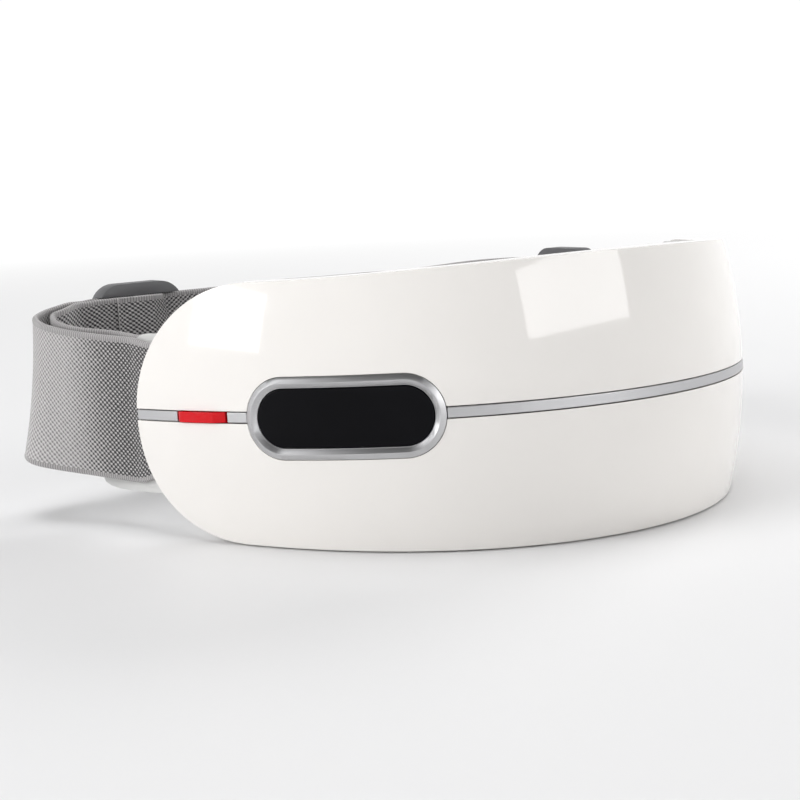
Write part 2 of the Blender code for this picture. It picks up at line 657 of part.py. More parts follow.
def strap_route():
    """Plan route of the band, from its inner end at the right temple to its inner end at the left one."""
    back, side = STRAP_BACK_Y, STRAP_RIGHT_X
    gap = 4.7
    inner_right_temple = [(-88.6, back - gap), (-94.0, back - gap), (-101.0, back - gap - 2.4), (-106.6, 155.6),
                          (-108.4, 148.5), (-104.6, 138.0), (-97.4, 127.0)]
    outer_right_temple = [(-105.0, 127.0), (-110.3, 139.0), (-113.4, 149.5), (-111.3, 157.8), (-104.4, 163.4),
                          (-96.0, back - 0.1), (-88.0, back)]
    back_run = [(-75.0, back), (-60.0, back), (-45.0, back), (-30.0, back), (-15.0, back), (0.0, back),
                (14.0, back + 1.6), (34.0, back + 7.0), (56.0, back + 15.0), (76.0, back + 21.5),
                (90.0, back + 23.0), (100.0, back + 19.5), (104.8, back + 13.0)]
    right_run = [(side, back + 7.5), (side, 160.0), (side, 145.0), (side, 133.0), (104.6, 124.0)]
    inner_end = [(97.9, 119.5), (98.9, 124.5)]
    return (inner_right_temple + lug_wrap(-1) + outer_right_temple + back_run + right_run
            + list(reversed(lug_wrap(1))) + inner_end)


def strap_height(x, y):
    """Height of the band's middle over the table: low at the lugs, higher where it crosses the back."""
    lug_z = trim_height(158.0) + 0.3
    if x < 0:
        side = min(max((y - 105.0) / 50.0, 0.0), 1.0) ** 1.9
        corner = min(max((x + 113.0) / 26.0, 0.0), 1.0) * smooth((y - 146.0) / 14.0)
        return lug_z + (BACK_STRAP_Z - lug_z) * (0.52 * side + 0.48 * corner)
    back_z = BACK_STRAP_Z - 1.6 * smooth((x - 5.0) / 50.0)
    return lug_z + (back_z - lug_z) * smooth((y - 106.0) / 18.0)


def slack(x, y):
    """How much wider the slack band by the right fold is than its stretched width in the slider and at the lug."""
    return 0.0775 * smooth((-88.0 - x) / 8.0) * smooth((y - 103.0) / 9.0)


def fold_lean(x, y, h):
    """How far the band leans out of its loop where it folds back at the right: its lower edge flares."""
    near = math.exp(-((y - 152.0) / 14.0) ** 2) * smooth((-88.0 - x) / 14.0)
    return near * (-3.15 * h + 1.2 * h * h - 0.8)


def ribbon(name, route, finish, thickness=STRAP_T, width=STRAP_W):
    """Band of webbing standing on edge along a plan route."""
    count = len(route)
    bm = bmesh.new()
    rings = []
    for i in range(count):
        p = Vector(route[i])
        along = (Vector(route[min(i + 1, count - 1)]) - Vector(route[max(i - 1, 0)])).normalized()
        across = Vector((-along.y, along.x))
        out = 1.0 if across.dot(p - Vector((0, 100))) > 0 else -1.0
        loose = slack(p.x, p.y)
        middle = strap_height(p.x, p.y) - 7.0 * loose
        ring = [bm.verts.new(world(*(p + across * (k * thickness / 2 + out * fold_lean(p.x, p.y, h))),
                                   middle + h * width / 2 * (1.0 + loose)))
                for k, h in ((1, -1), (-1, -1), (-1, 1), (1, 1))]
        rings.append(ring)
    for a, b in zip(rings, rings[1:]):
        for k in range(4):
            bm.faces.new((a[k], a[(k + 1) % 4], b[(k + 1) % 4], b[k]))
    bm.faces.new(rings[0])
    bm.faces.new(rings[-1])
    bmesh.ops.recalc_face_normals(bm, faces=bm.faces)
    mesh = bpy.data.meshes.new(name)
    bm.to_mesh(mesh)
    bm.free()
    return finish_mesh(new_object(name, mesh), name, finish)


def slider(name, finish):
    """Webbing slider: a rim of four sides with a middle bar on the inner side, which lets the band run straight.

    Modelled along X, with the outer side at +Y, about the band's middle.
    """
    half_l, half_h, rail = SLIDER_L / 2, SLIDER_H / 2, 3.4
    frame = prism(rounded_rect(-half_l, half_l, -half_h, half_h, 8.0, turns=5), -3.4, 3.2)
    window = box(-half_l - 5, half_l + 5, -1.0, 1.0, -half_h + rail, half_h - rail)
    outer = box(-half_l + 4.2, half_l - 4.2, 0.5, 6, -half_h + rail, half_h - rail)
    inner_a = box(-half_l - 5, -2.2, -6, -0.5, -half_h + rail, half_h - rail)
    inner_b = box(2.2, half_l + 5, -6, -0.5, -half_h + rail, half_h - rail)
    cut(frame, window, outer, inner_a, inner_b)
    return frame


def set_down(obj, name, finish, x, y, angle, z):
    obj.data.transform(Matrix.Scale(MM, 4))
    obj.location = world(x, y, z)
    obj.rotation_euler.z = angle
    return finish_mesh(obj, name, finish)


def make_strap(look):
    route = [tuple(p) for p in catmull([(*p, 0) for p in strap_route()], 2)]
    ribbon("strap_band", [p[:2] for p in route], look["webbing"])
    for hand, x, y, angle, tab in (("right", SLIDER_LEFT_X, STRAP_BACK_Y, 0.0, (-14.5, 10.5)),
                                   ("left", STRAP_RIGHT_X, SLIDER_RIGHT_Y, -math.pi / 2, (-10.5, 14.5))):
        z = strap_height(x, y)
        set_down(slider("slider", look["dark"]), "strap_slider_" + hand, look["dark"], x, y, angle, z)
        end = box(tab[0], tab[1], -5.6, -4.0, -STRAP_W / 2, STRAP_W / 2)
        set_down(end, "strap_tab_" + hand, look["webbing"], x, y, angle, z)


def main():
    clear_scene()
    look = finishes()
    front_shell("upper_front_shell", True, look["white"])
    front_shell("lower_front_shell", False, look["white"])
    make_trim(look)
    make_display(look)
    make_button(look)
    make_housing(look)
    make_cushion(look)
    make_works(look)
    make_air_lines(look)
    for side, hand in ((-1, "right"), (1, "left")):
        make_lug(side, hand, look)
    make_screws(look)
    make_strap(look)


main()
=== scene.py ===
"""Looks of the eye massager mask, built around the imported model.

The mask's layers are made unrolled, in millimetres, as the CAD does. s is the arc length along the trim
line, d the depth behind the front surface and z the height above the trim line. wrap() rolls them onto the
plan curve. "Right" and "left" in names are the wearer's.
"""
import json
import math

import bmesh
import bpy
import numpy as np
from mathutils import Matrix, Vector

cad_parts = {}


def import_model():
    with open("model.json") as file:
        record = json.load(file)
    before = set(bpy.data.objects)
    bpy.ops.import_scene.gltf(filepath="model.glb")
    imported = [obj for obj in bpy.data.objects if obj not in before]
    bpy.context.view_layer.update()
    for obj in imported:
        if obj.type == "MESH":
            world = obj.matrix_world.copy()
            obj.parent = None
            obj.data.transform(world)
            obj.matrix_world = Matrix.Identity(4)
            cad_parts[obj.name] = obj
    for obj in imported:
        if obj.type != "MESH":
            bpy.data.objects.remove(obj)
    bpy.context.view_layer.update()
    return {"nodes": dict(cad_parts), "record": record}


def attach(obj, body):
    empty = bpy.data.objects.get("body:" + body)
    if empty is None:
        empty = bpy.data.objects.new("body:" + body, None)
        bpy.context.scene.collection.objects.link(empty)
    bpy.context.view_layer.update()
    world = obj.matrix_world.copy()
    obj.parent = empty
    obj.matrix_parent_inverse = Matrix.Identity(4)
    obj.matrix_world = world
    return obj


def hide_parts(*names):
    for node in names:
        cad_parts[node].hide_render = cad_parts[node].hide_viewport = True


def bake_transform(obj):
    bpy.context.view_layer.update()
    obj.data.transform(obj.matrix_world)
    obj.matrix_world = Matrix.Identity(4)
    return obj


MM = 0.001
MAIN, SLIDER_R, SLIDER_L, BUTTON = "mask_body", "slider_right_body", "slider_left_body", "button_body"

# ---- driving dimensions, in millimetres ------------------------------------------------------------------
# These are the CAD's, with finer gaps. The display sits 0.3 mm lower in a slimmer bezel, and the shells reach
# 0.15 mm closer to the table.
HEIGHT = 78.0                # full height at the middle
HALF_ARC = 158.5             # arc length from the middle to the tip of an end cap
TRIM_Z, TRIM_DROP = 39.2, 0.0324     # trim line's height, and its fall for each mm that it runs back
RAKE, BARREL_R = 0.0148, 153.3       # lean and vertical curvature of the front
TURN_REF = 91.8              # arc length that the plan curve's turning is stated for
TURN = (1.0815, -0.1395, 0.0131)     # turning in radians, for odd powers of s / TURN_REF
TOP_FALL = (-4.54, 1.12)     # top edge's fall, for even powers of s / TURN_REF
ORIGIN = (-4.41, 94.34)      # footprint's middle, measured from the middle of the front

CAP_START, CAP_LENGTH = 118.0, 40.5  # the outline's rounded ends
CAP_TOP_POWER, CAP_BOTTOM_POWER = 2.0, 2.3
SHELL_T, SHELL_RIM_T, SHELL_RIM_DEPTH = 2.2, 2.0, 7.0
SHELL_LIFT = 0.45            # shells' lower edge above the table
MOUTH_FROM, MOUTH_TO = 137.0, 175.0  # opening that a lug leaves the end cap through
TRIM_H, TRIM_GAP = 2.9, 0.28
TRIM_D0, TRIM_D1 = 0.1, 2.3
SHADE_STRIP_D0, SHADE_STRIP_D1 = 2.35, 3.0   # black strips behind the trim line's gaps, which paint the shade inside them
DISPLAY_S, DISPLAY_Z, DISPLAY_GAP = -87.9, -0.3, 0.12
BEZEL_HALF_L, BEZEL_HALF_H = 28.6, 11.3
GLASS_HALF_L, GLASS_HALF_H = 25.4, 8.1
BUTTON_S, BUTTON_L, BUTTON_PROUD = -132.0, 18.0, 1.0

HOUSING_CAP_START, HOUSING_CAP_LENGTH = 110.0, 36.5
HOUSING_D0, HOUSING_D1, HOUSING_T = 7.4, 22.0, 2.0
NOSE_WIDTH, NOSE_RISE = 15.0, 17.0
END_SQUEEZE, CUSHION_SQUEEZE = 0.25, 0.6     # share of the rear layers' depth that is left at the temples
CUSHION_CAP_START, CUSHION_CAP_LENGTH = 100.0, 37.0
CUSHION_D0, CUSHION_D1 = 22.4, 33.0
EYE_S, EYE_Z, EYE_HALF_L, EYE_HALF_H = 33.0, 3.0, 22.0, 16.0
EYE_D0, EYE_D1 = 26.8, 30.4
PORT_S, PORT_D = 84.0, 13.0

LUG_D0, LUG_D1, LUG_HALF_H, SLOT_HALF_H = 5.9, 8.5, 22.5, 20.6
LUG_TIP, LUG_BAR, LUG_SLOT, LUG_ROOT = 169.0, 153.5, 147.2, 127.0
LUG_SLANT = 0.25             # the right lug's tip is cut aslant: longer below
# outline of the lip under the band, at the right lug
LUG_FOOT = ((154.0, -24.2), (178.0, -24.2), (183.0, -23.7), (186.3, -22.7), (187.4, -21.3),
            (187.0, -20.1), (182.0, -20.8), (172.0, -21.8), (154.0, -22.0))
STRAP_W = 40.0
SLIDER_LEN, SLIDER_H = 30.0, 48.0
SLIDER_LEFT_X, SLIDER_RIGHT_Y = -70.5, 156.5
STRAP_BACK_Y, STRAP_RIGHT_X, BACK_STRAP_Z = 165.0, 105.5, 44.8
WRAP_D, WRAP_R, WRAP_S = 7.2, 2.3, 151.6     # the band's turn round a lug's bar

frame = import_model()


# ---- plan curve and wrapping -----------------------------------------------------------------------------
def turning(s):
    """Angle of the plan curve's tangent at arc length s."""
    u = s / TURN_REF
    return TURN[0] * u + TURN[1] * u ** 3 + TURN[2] * u ** 5


STEP = 0.25
ARC = np.arange(0.0, 200.0, STEP)
MID = turning(ARC[:-1] + STEP / 2)
PLAN_X = np.concatenate([[0.0], np.cumsum(np.cos(MID) * STEP)])
PLAN_Y = np.concatenate([[0.0], np.cumsum(np.sin(MID) * STEP)])


def plan_x(s):
    return np.sign(s) * np.interp(np.abs(s), ARC, PLAN_X)


def plan_y(s):
    return np.interp(np.abs(s), ARC, PLAN_Y)


def trim_height(s):
    return TRIM_Z - TRIM_DROP * plan_y(s)


def smooth(t):
    t = np.clip(t, 0.0, 1.0)
    return t * t * (3 - 2 * t)


def real_depth(s, d):
    """Depth after the rear layers are thinned towards the temples."""
    ease = smooth((np.abs(s) - 50.0) / 95.0)
    rear = np.clip(d, HOUSING_D0, HOUSING_D1) - HOUSING_D0
    last = np.maximum(d - HOUSING_D1, 0.0)
    return (np.minimum(d, HOUSING_D0) + rear * (1 - ease * (1 - END_SQUEEZE))
            + last * (1 - ease * (1 - CUSHION_SQUEEZE)))


def wrap(points, curved=True):
    """Places in metres of unrolled points (s, d, z). Upright pieces leave out the front's curve."""
    s, d, z = np.asarray(points, float).reshape(-1, 3).T
    a = turning(s)
    barrel = BARREL_R - np.sqrt(BARREL_R ** 2 - z * z) if curved else 0.0
    depth = real_depth(s, d) + barrel
    x = plan_x(s) - depth * np.sin(a) - ORIGIN[0]
    y = plan_y(s) + depth * np.cos(a) + (RAKE * z if curved else 0.0) - ORIGIN[1]
    return np.stack([x, y, trim_height(s) + z], axis=1) * MM


def wrapped_normals(points):
    """Normals of the front-facing surface at unrolled points."""
    p = np.asarray(points, float).reshape(-1, 3)
    along = wrap(p + (0.2, 0, 0)) - wrap(p - (0.2, 0, 0))
    up = wrap(p + (0, 0, 0.2)) - wrap(p - (0, 0, 0.2))
    n = np.cross(along, up)
    return n / np.linalg.norm(n, axis=1, keepdims=True)


def world(x, y, z):
    """Place in metres of a plan point measured from the middle of the front."""
    return Vector(((x - ORIGIN[0]) * MM, (y - ORIGIN[1]) * MM, z * MM))


# ---- outlines --------------------------------------------------------------------------------------------
def top_edge(s):
    u = s / TURN_REF
    return HEIGHT + TOP_FALL[0] * u ** 2 + TOP_FALL[1] * u ** 4 - trim_height(s)


def outline(cap_start, cap_length, drop, lift, nose=0.0, step=2.0, turns=30, end_drop=None):
    """Closed outline (s, z) with rounded end caps.

    The top edge is lowered by drop, at the temples by end_drop; the lower edge is raised by lift.
    """
    def low(s):
        return -trim_height(s) + lift + nose * math.exp(-(s / NOSE_WIDTH) ** 2)

    def high(s):
        last = drop if end_drop is None else end_drop
        return top_edge(s) - drop - (last - drop) * smooth((abs(s) - 60.0) / 35.0)

    def cap(side, first, first_power, last, last_power):
        points = []
        for i in range(1, 2 * turns):
            a = math.pi * i / (2 * turns)
            power, base = (first_power, first) if i <= turns else (last_power, last)
            reach = cap_start + cap_length * math.sin(a) ** (2 / power)
            points.append((side * reach, base * abs(math.cos(a)) ** (2 / power)))
        return points

    count = round(2 * cap_start / step)
    run = [-cap_start + 2 * cap_start * i / count for i in range(count + 1)]
    points = [(s, high(s)) for s in reversed(run)]
    points += cap(-1, high(-cap_start), CAP_TOP_POWER, low(-cap_start), CAP_BOTTOM_POWER)
    points += [(s, low(s)) for s in run]
    return points + cap(1, low(cap_start), CAP_BOTTOM_POWER, high(cap_start), CAP_TOP_POWER)


def inset(points, t):
    """The outline moved inwards by t. Points run anticlockwise."""
    p = np.array(points, float)
    along = np.roll(p, -1, axis=0) - np.roll(p, 1, axis=0)
    along /= np.linalg.norm(along, axis=1, keepdims=True)
    return [tuple(q) for q in p + np.stack([-along[:, 1], along[:, 0]], axis=1) * t]


def pill(s, z, half_l, half_h, turns=28):
    """Stadium outline, anticlockwise."""
    points = []
    for side, start in ((1, -math.pi / 2), (-1, math.pi / 2)):
        for i in range(turns + 1):
            a = start + math.pi * i / turns
            points.append((s + side * (half_l - half_h) + half_h * math.cos(a), z + half_h * math.sin(a)))
    return points


def ellipse(s, z, a, b, count=72):
    """Ellipse with half axes a and b, anticlockwise."""
    return [(s + a * math.cos(2 * math.pi * i / count), z + b * math.sin(2 * math.pi * i / count))
            for i in range(count)]


def rounded_rect(x0, x1, z0, z1, r, turns=8):
    """Rectangle with corners of radius r, anticlockwise."""
    points = []
    corners = ((x1 - r, z0 + r, -90), (x1 - r, z1 - r, 0), (x0 + r, z1 - r, 90), (x0 + r, z0 + r, 180))
    for cx, cz, start in corners:
        for i in range(turns + 1):
            a = math.radians(start + 90 * i / turns)
            points.append((cx + r * math.cos(a), cz + r * math.sin(a)))
    return points


# ---- mesh helpers ----------------------------------------------------------------------------------------
def new_object(name, mesh):
    obj = bpy.data.objects.new(name, mesh)
    bpy.context.scene.collection.objects.link(obj)
    return obj


def from_bmesh(bm, name):
    mesh = bpy.data.meshes.new(name)
    bm.to_mesh(mesh)
    bm.free()
    return new_object(name, mesh)


def coordinates(mesh):
    flat = np.zeros(len(mesh.vertices) * 3)
    mesh.vertices.foreach_get("co", flat)
    return flat.reshape(-1, 3)


def extrude(corners, move):
    """Solid swept by move from the flat face that has these corners."""
    bm = bmesh.new()
    face = bm.faces.new([bm.verts.new(corner) for corner in corners])
    made = bmesh.ops.extrude_face_region(bm, geom=[face])
    moved = [v for v in made["geom"] if isinstance(v, bmesh.types.BMVert)]
    bmesh.ops.translate(bm, vec=move, verts=moved)
    bmesh.ops.recalc_face_normals(bm, faces=bm.faces)
    return from_bmesh(bm, "shape")


def prism(points, d0, d1):
    """Unrolled outline (s, z), extruded in depth from d0 to d1."""
    return extrude([(s, d0, z) for s, z in points], (0, d1 - d0, 0))


def box(x0, x1, y0, y1, z0, z1):
    return prism([(x0, z0), (x1, z0), (x1, z1), (x0, z1)], y0, y1)


def both_sides(near, far, *spans):
    """Two boxes, one at each temple, between two arc lengths from the middle."""
    return [box(*sorted((side * near, side * far)), *spans) for side in (-1, 1)]


def combine(obj, others, operation):
    """Boolean obj with each of the others, which are used up."""
    for other in others:
        mod = obj.modifiers.new("shape", "BOOLEAN")
        mod.operation = operation
        mod.solver = "EXACT"
        mod.object = other
    apply_modifiers(obj)
    for other in others:
        bpy.data.objects.remove(other, do_unlink=True)
    return obj


def apply_modifiers(obj):
    graph = bpy.context.evaluated_depsgraph_get()
    graph.update()
    mesh = bpy.data.meshes.new_from_object(obj.evaluated_get(graph))
    obj.modifiers.clear()
    obj.data = mesh
    return obj


def cut(obj, *others):
    return combine(obj, others, "DIFFERENCE")


def join(obj, *others):
    return combine(obj, others, "UNION")


def bevel_edges(bm, width, segments, limit=35.0, keep=None):
    """Rounds the edges that turn by more than limit degrees, or those that keep() picks of them."""
    edges = [e for e in bm.edges if len(e.link_faces) == 2 and math.degrees(e.calc_face_angle(0)) > limit]
    if keep:
        edges = [e for e in edges if keep(e)]
    bmesh.ops.bevel(bm, geom=edges, offset=width, segments=segments, profile=0.5, affect="EDGES",
                    clamp_overlap=True)


def slice_mesh(bm, steps):
    """Cuts the mesh along evenly spaced planes across s and z."""
    for axis, step in zip((0, 2), steps):
        if not step:
            continue
        low = min(v.co[axis] for v in bm.verts)
        high = max(v.co[axis] for v in bm.verts)
        normal = Vector((0, 0, 0))
        normal[axis] = 1
        for k in range(math.ceil((low + 0.05) / step), math.floor((high - 0.05) / step) + 1):
            at = normal * (k * step)
            geom = list(bm.verts) + list(bm.edges) + list(bm.faces)
            bmesh.ops.bisect_plane(bm, geom=geom, plane_co=at, plane_no=normal, dist=0.0005)


def roll_up(obj, name, finish, steps=(2.0, 3.0), bevel=0.0, segments=3, curved=True, limit=35.0):
    """Rounds the edges of an unrolled solid, wraps it onto the mask, names it and gives it its finish."""
    bm = bmesh.new()
    bm.from_mesh(obj.data)
    bmesh.ops.remove_doubles(bm, verts=bm.verts, dist=0.002)
    bmesh.ops.dissolve_degenerate(bm, edges=bm.edges, dist=0.001)
    if bevel:
        bevel_edges(bm, bevel, segments, limit)
    bmesh.ops.triangulate(bm, faces=[f for f in bm.faces if len(f.verts) > 4])
    slice_mesh(bm, steps)
    bm.normal_update()
    bm.to_mesh(obj.data)
    mesh = obj.data
    flat = coordinates(mesh)
    facing = np.array([f.normal.y < -0.999 for f in bm.faces])
    bm.free()
    uv = mesh.uv_layers.new(name="flat")
    corners = np.zeros(len(mesh.loops), int)
    mesh.loops.foreach_get("vertex_index", corners)
    uv.data.foreach_set("uv", (flat[corners][:, (0, 2)] * 0.01).ravel())
    mesh.vertices.foreach_set("co", wrap(flat, curved).ravel())
    mesh.update()
    dress(obj, name, finish)
    chosen = np.repeat(facing, [polygon.loop_total for polygon in mesh.polygons])
    if curved and chosen.any():
        normals = np.zeros((len(mesh.loops), 3))
        normals[chosen] = wrapped_normals(flat[corners[chosen]])
        mesh.normals_split_custom_set(normals.tolist())
    return obj


def dress(obj, name, finish, sharp=38.0):
    """Names a piece and gives it its finish, shaded smooth but for edges of more than sharp degrees."""
    obj.name = name
    obj.data.name = name
    obj.data.materials.clear()
    obj.data.materials.append(finish)
    obj.data.shade_smooth()
    obj.data.set_sharp_from_angle(angle=math.radians(sharp))
    return obj


def place(obj, body, slot, *nodes):
    """The piece rides on a body and stands for CAD nodes, which are hidden. The slot argument is not used."""
    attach(obj, body)
    if nodes:
        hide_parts(*nodes)
    return obj


# ---- materials -------------------------------------------------------------------------------------------
class Look:
    """One procedural material: a Principled shader with short calls for the nodes that feed it."""

    def __init__(self, name, colour, roughness, **sockets):
        self.name = name
        self.material = bpy.data.materials.new(name)
        self.material.use_nodes = True
        self.tree = self.material.node_tree
        self.shader = self.tree.nodes["Principled BSDF"]
        self.set("Base Color", (*colour, 1.0))
        self.set("Roughness", roughness)
        for key, value in sockets.items():
            self.set(key.replace("_", " "), value)

    def set(self, socket, value):
        self.shader.inputs[socket].default_value = value

    def node(self, kind, inputs=None, **settings):
        made = self.tree.nodes.new("ShaderNode" + kind)
        for key, value in settings.items():
            setattr(made, key, value)
        for key, value in (inputs or {}).items():
            self.feed(made.inputs[key], value)
        return made

    def feed(self, socket, value):
        if isinstance(value, bpy.types.NodeSocket):
            self.tree.links.new(value, socket)
        else:
            socket.default_value = value

    def math(self, operation, *values):
        made = self.node("Math", operation=operation)
        for socket, value in zip(made.inputs, values):
            self.feed(socket, value)
        return made.outputs[0]

    def place(self, kind="Object"):
        return self.node("TexCoord").outputs[kind]

    def noise(self, where, scale, detail=3.0, rough=0.5):
        made = self.node("TexNoise", {"Vector": where, "Scale": scale, "Detail": detail, "Roughness": rough})
        return made.outputs["Fac"]

    def remap(self, value, low, high, out_low, out_high):
        made = self.node("MapRange", {0: value, 1: low, 2: high, 3: out_low, 4: out_high})
        return made.outputs[0]

    def mix(self, factor, first, second):
        made = self.node("Mix", data_type="RGBA")
        self.feed(made.inputs[0], factor)
        for socket, colour in ((made.inputs[6], first), (made.inputs[7], second)):
            self.feed(socket, colour if isinstance(colour, bpy.types.NodeSocket) else (*colour, 1.0))
        return made.outputs[2]

    def bump(self, height, strength, distance):
        """Distance in millimetres."""
        made = self.node("Bump", {"Height": height, "Strength": strength, "Distance": distance * MM})
        if self.shader.inputs["Normal"].links:
            self.feed(made.inputs["Normal"], self.shader.inputs["Normal"].links[0].from_socket)
        self.feed(self.shader.inputs["Normal"], made.outputs[0])

    def link(self, socket, value):
        self.feed(self.shader.inputs[socket], value)


def moulded(name, colour, roughness, shift=0.06, grain=0.02, scale=1400.0, **sockets):
    """Moulded plastic: faint cloudy colour, fine texture and uneven polish."""
    look = Look(name, colour, roughness, **sockets)
    where = look.place()
    cloud = look.noise(where, 28.0, 4.0)
    dark = tuple(c * (1 - shift) for c in colour)
    light = tuple(min(1.0, c * (1 + shift)) for c in colour)
    look.link("Base Color", look.mix(look.remap(cloud, 0.3, 0.7, 0.0, 1.0), dark, light))
    polish = look.noise(where, 160.0, 5.0, 0.6)
    look.link("Roughness", look.remap(polish, 0.3, 0.7, roughness * 0.82, roughness * 1.25))
    look.bump(look.noise(where, scale, 2.0), grain, 0.05)
    return look


def brushed(name, colour, roughness, stretch=(3.0, 900.0, 1.0)):
    """Metal with fine lines that run along s."""
    look = Look(name, colour, roughness, Metallic=1.0)
    lines = look.node("Mapping", {"Vector": look.place("UV"), "Scale": stretch}).outputs[0]
    streak = look.noise(lines, 1.0, 4.0, 0.65)
    look.link("Roughness", look.remap(streak, 0.3, 0.7, roughness * 0.8, roughness * 1.3))
    tint = tuple(c * 0.9 for c in colour)
    look.link("Base Color", look.mix(look.remap(streak, 0.35, 0.65, 0.0, 1.0), tint, colour))
    look.bump(streak, 0.03, 0.02)
    return look


WEAVE_S, WEAVE_Z = 0.85, 0.68    # distance from a raised loop to the next gap, along and across the band
RIB_FROM, RIB_PITCH = 18.4, 0.85     # the bound edges start here, and their ribs repeat at this pitch


def webbing(name, light, dark):
    """Woven elastic: raised light loops and dark gaps in a lattice, with ribbed bound edges.

    Its UV map holds the distance along and across the band in centimetres. The attribute "open" says how far
    the weave is drawn open; it also carries painted shade, since values above 1 darken the whole weave.
    """
    look = Look(name, light, 0.82, Sheen_Weight=0.35, Sheen_Roughness=0.5)
    parts = look.node("SeparateXYZ", {"Vector": look.place("UV")})
    along = look.math("MULTIPLY", parts.outputs[0], 10.0)
    across = look.math("MULTIPLY", parts.outputs[1], 10.0)
    wobble = look.noise(look.place("UV"), 6.0, 2.0)
    along_bent = look.math("ADD", along, look.remap(wobble, 0.0, 1.0, -0.35, 0.35))
    phase_s = look.math("MULTIPLY", along_bent, math.pi / WEAVE_S)
    phase_z = look.math("MULTIPLY", across, math.pi / WEAVE_Z)
    lattice = look.math("MULTIPLY", look.math("COSINE", phase_s), look.math("COSINE", phase_z))
    twill = look.math("COSINE", look.math("SUBTRACT", phase_s, phase_z))
    rib = look.math("COSINE", look.math("MULTIPLY", along, 2 * math.pi / RIB_PITCH))
    edge = look.math("GREATER_THAN", look.math("ABSOLUTE", across), RIB_FROM)
    fibre = look.noise(look.place("UV"), 260.0, 3.0, 0.7)
    # open is the weave's opening together with painted shade: above 1 it makes closed negative and darkens
    # the band
    opening_and_shade = look.node("Attribute", attribute_name="open").outputs["Fac"]
    closed = look.math("SUBTRACT", 1.0, opening_and_shade)
    level = look.math("MULTIPLY", lattice, opening_and_shade)
    level = look.math("MULTIPLY_ADD", twill, 0.14, level)
    level = look.math("MULTIPLY_ADD", closed, 0.85, level)
    bound = look.math("MULTIPLY_ADD", rib, 0.2, 0.34)
    woven = look.node("Mix", {0: edge, 2: level, 3: bound}, data_type="FLOAT").outputs[0]
    fluffed = look.math("ADD", woven, look.remap(fibre, 0.2, 0.8, -0.16, 0.16))
    shade = look.remap(fluffed, -0.25, 0.85, 0.0, 1.0)
    look.link("Base Color", look.mix(shade, dark, light))
    look.bump(woven, 0.8, 0.28)
    look.bump(fibre, 0.35, 0.06)
    return look


def leather(name, colour):
    """Soft artificial leather: pebbled grain, fine creases and a worn sheen."""
    look = Look(name, colour, 0.55, Sheen_Weight=0.1)
    where = look.place()
    cells = look.node("TexVoronoi", {"Vector": where, "Scale": 900.0}, feature="DISTANCE_TO_EDGE").outputs[0]
    grain = look.remap(cells, 0.0, 0.25, 0.0, 1.0)
    crease = look.noise(where, 120.0, 5.0, 0.6)
    cloud = look.noise(where, 25.0, 3.0)
    dark = tuple(c * 0.75 for c in colour)
    light = tuple(c * 1.2 for c in colour)
    worn = look.math("MULTIPLY", cloud, look.remap(grain, 0, 1, 0.6, 1.3))
    look.link("Base Color", look.mix(worn, dark, light))
    look.link("Roughness", look.remap(crease, 0.3, 0.7, 0.46, 0.66))
    look.bump(grain, 0.35, 0.12)
    look.bump(crease, 0.2, 0.2)
    return look


def knit(name, colour, pitch=0.9):
    """Fine warp knit: rows of small loops."""
    look = Look(name, colour, 0.9, Sheen_Weight=0.4, Sheen_Roughness=0.4)
    parts = look.node("SeparateXYZ", {"Vector": look.place()})
    rate = 2 * math.pi / (pitch * MM)
    wave_x = look.math("SINE", look.math("MULTIPLY", parts.outputs[0], rate))
    phase_z = look.math("MULTIPLY", parts.outputs[2], rate)
    wave_z = look.math("SINE", look.math("ADD", phase_z, look.math("MULTIPLY", wave_x, 0.9)))
    loops = look.math("MULTIPLY", look.math("ADD", wave_x, 1.0), look.math("ADD", wave_z, 1.2))
    fuzz = look.noise(look.place(), 2500.0, 3.0, 0.7)
    level = look.math("ADD", look.math("MULTIPLY", loops, 0.25), look.remap(fuzz, 0, 1, -0.2, 0.2))
    dark = tuple(c * 0.35 for c in colour)
    look.link("Base Color", look.mix(look.remap(level, 0.0, 0.8, 0.0, 1.0), dark, colour))
    look.bump(level, 0.7, 0.2)
    return look


def circuit(name):
    """Solder mask with tracks and pads."""
    look = Look(name, (0.01, 0.12, 0.05), 0.35)
    where = look.place()
    tracks = look.node("TexBrick", {"Vector": where, "Scale": 160.0, "Mortar Size": 0.03}).outputs["Fac"]
    look.link("Base Color", look.mix(tracks, (0.008, 0.10, 0.045), (0.03, 0.24, 0.10)))
    look.bump(tracks, 0.3, 0.05)
    return look


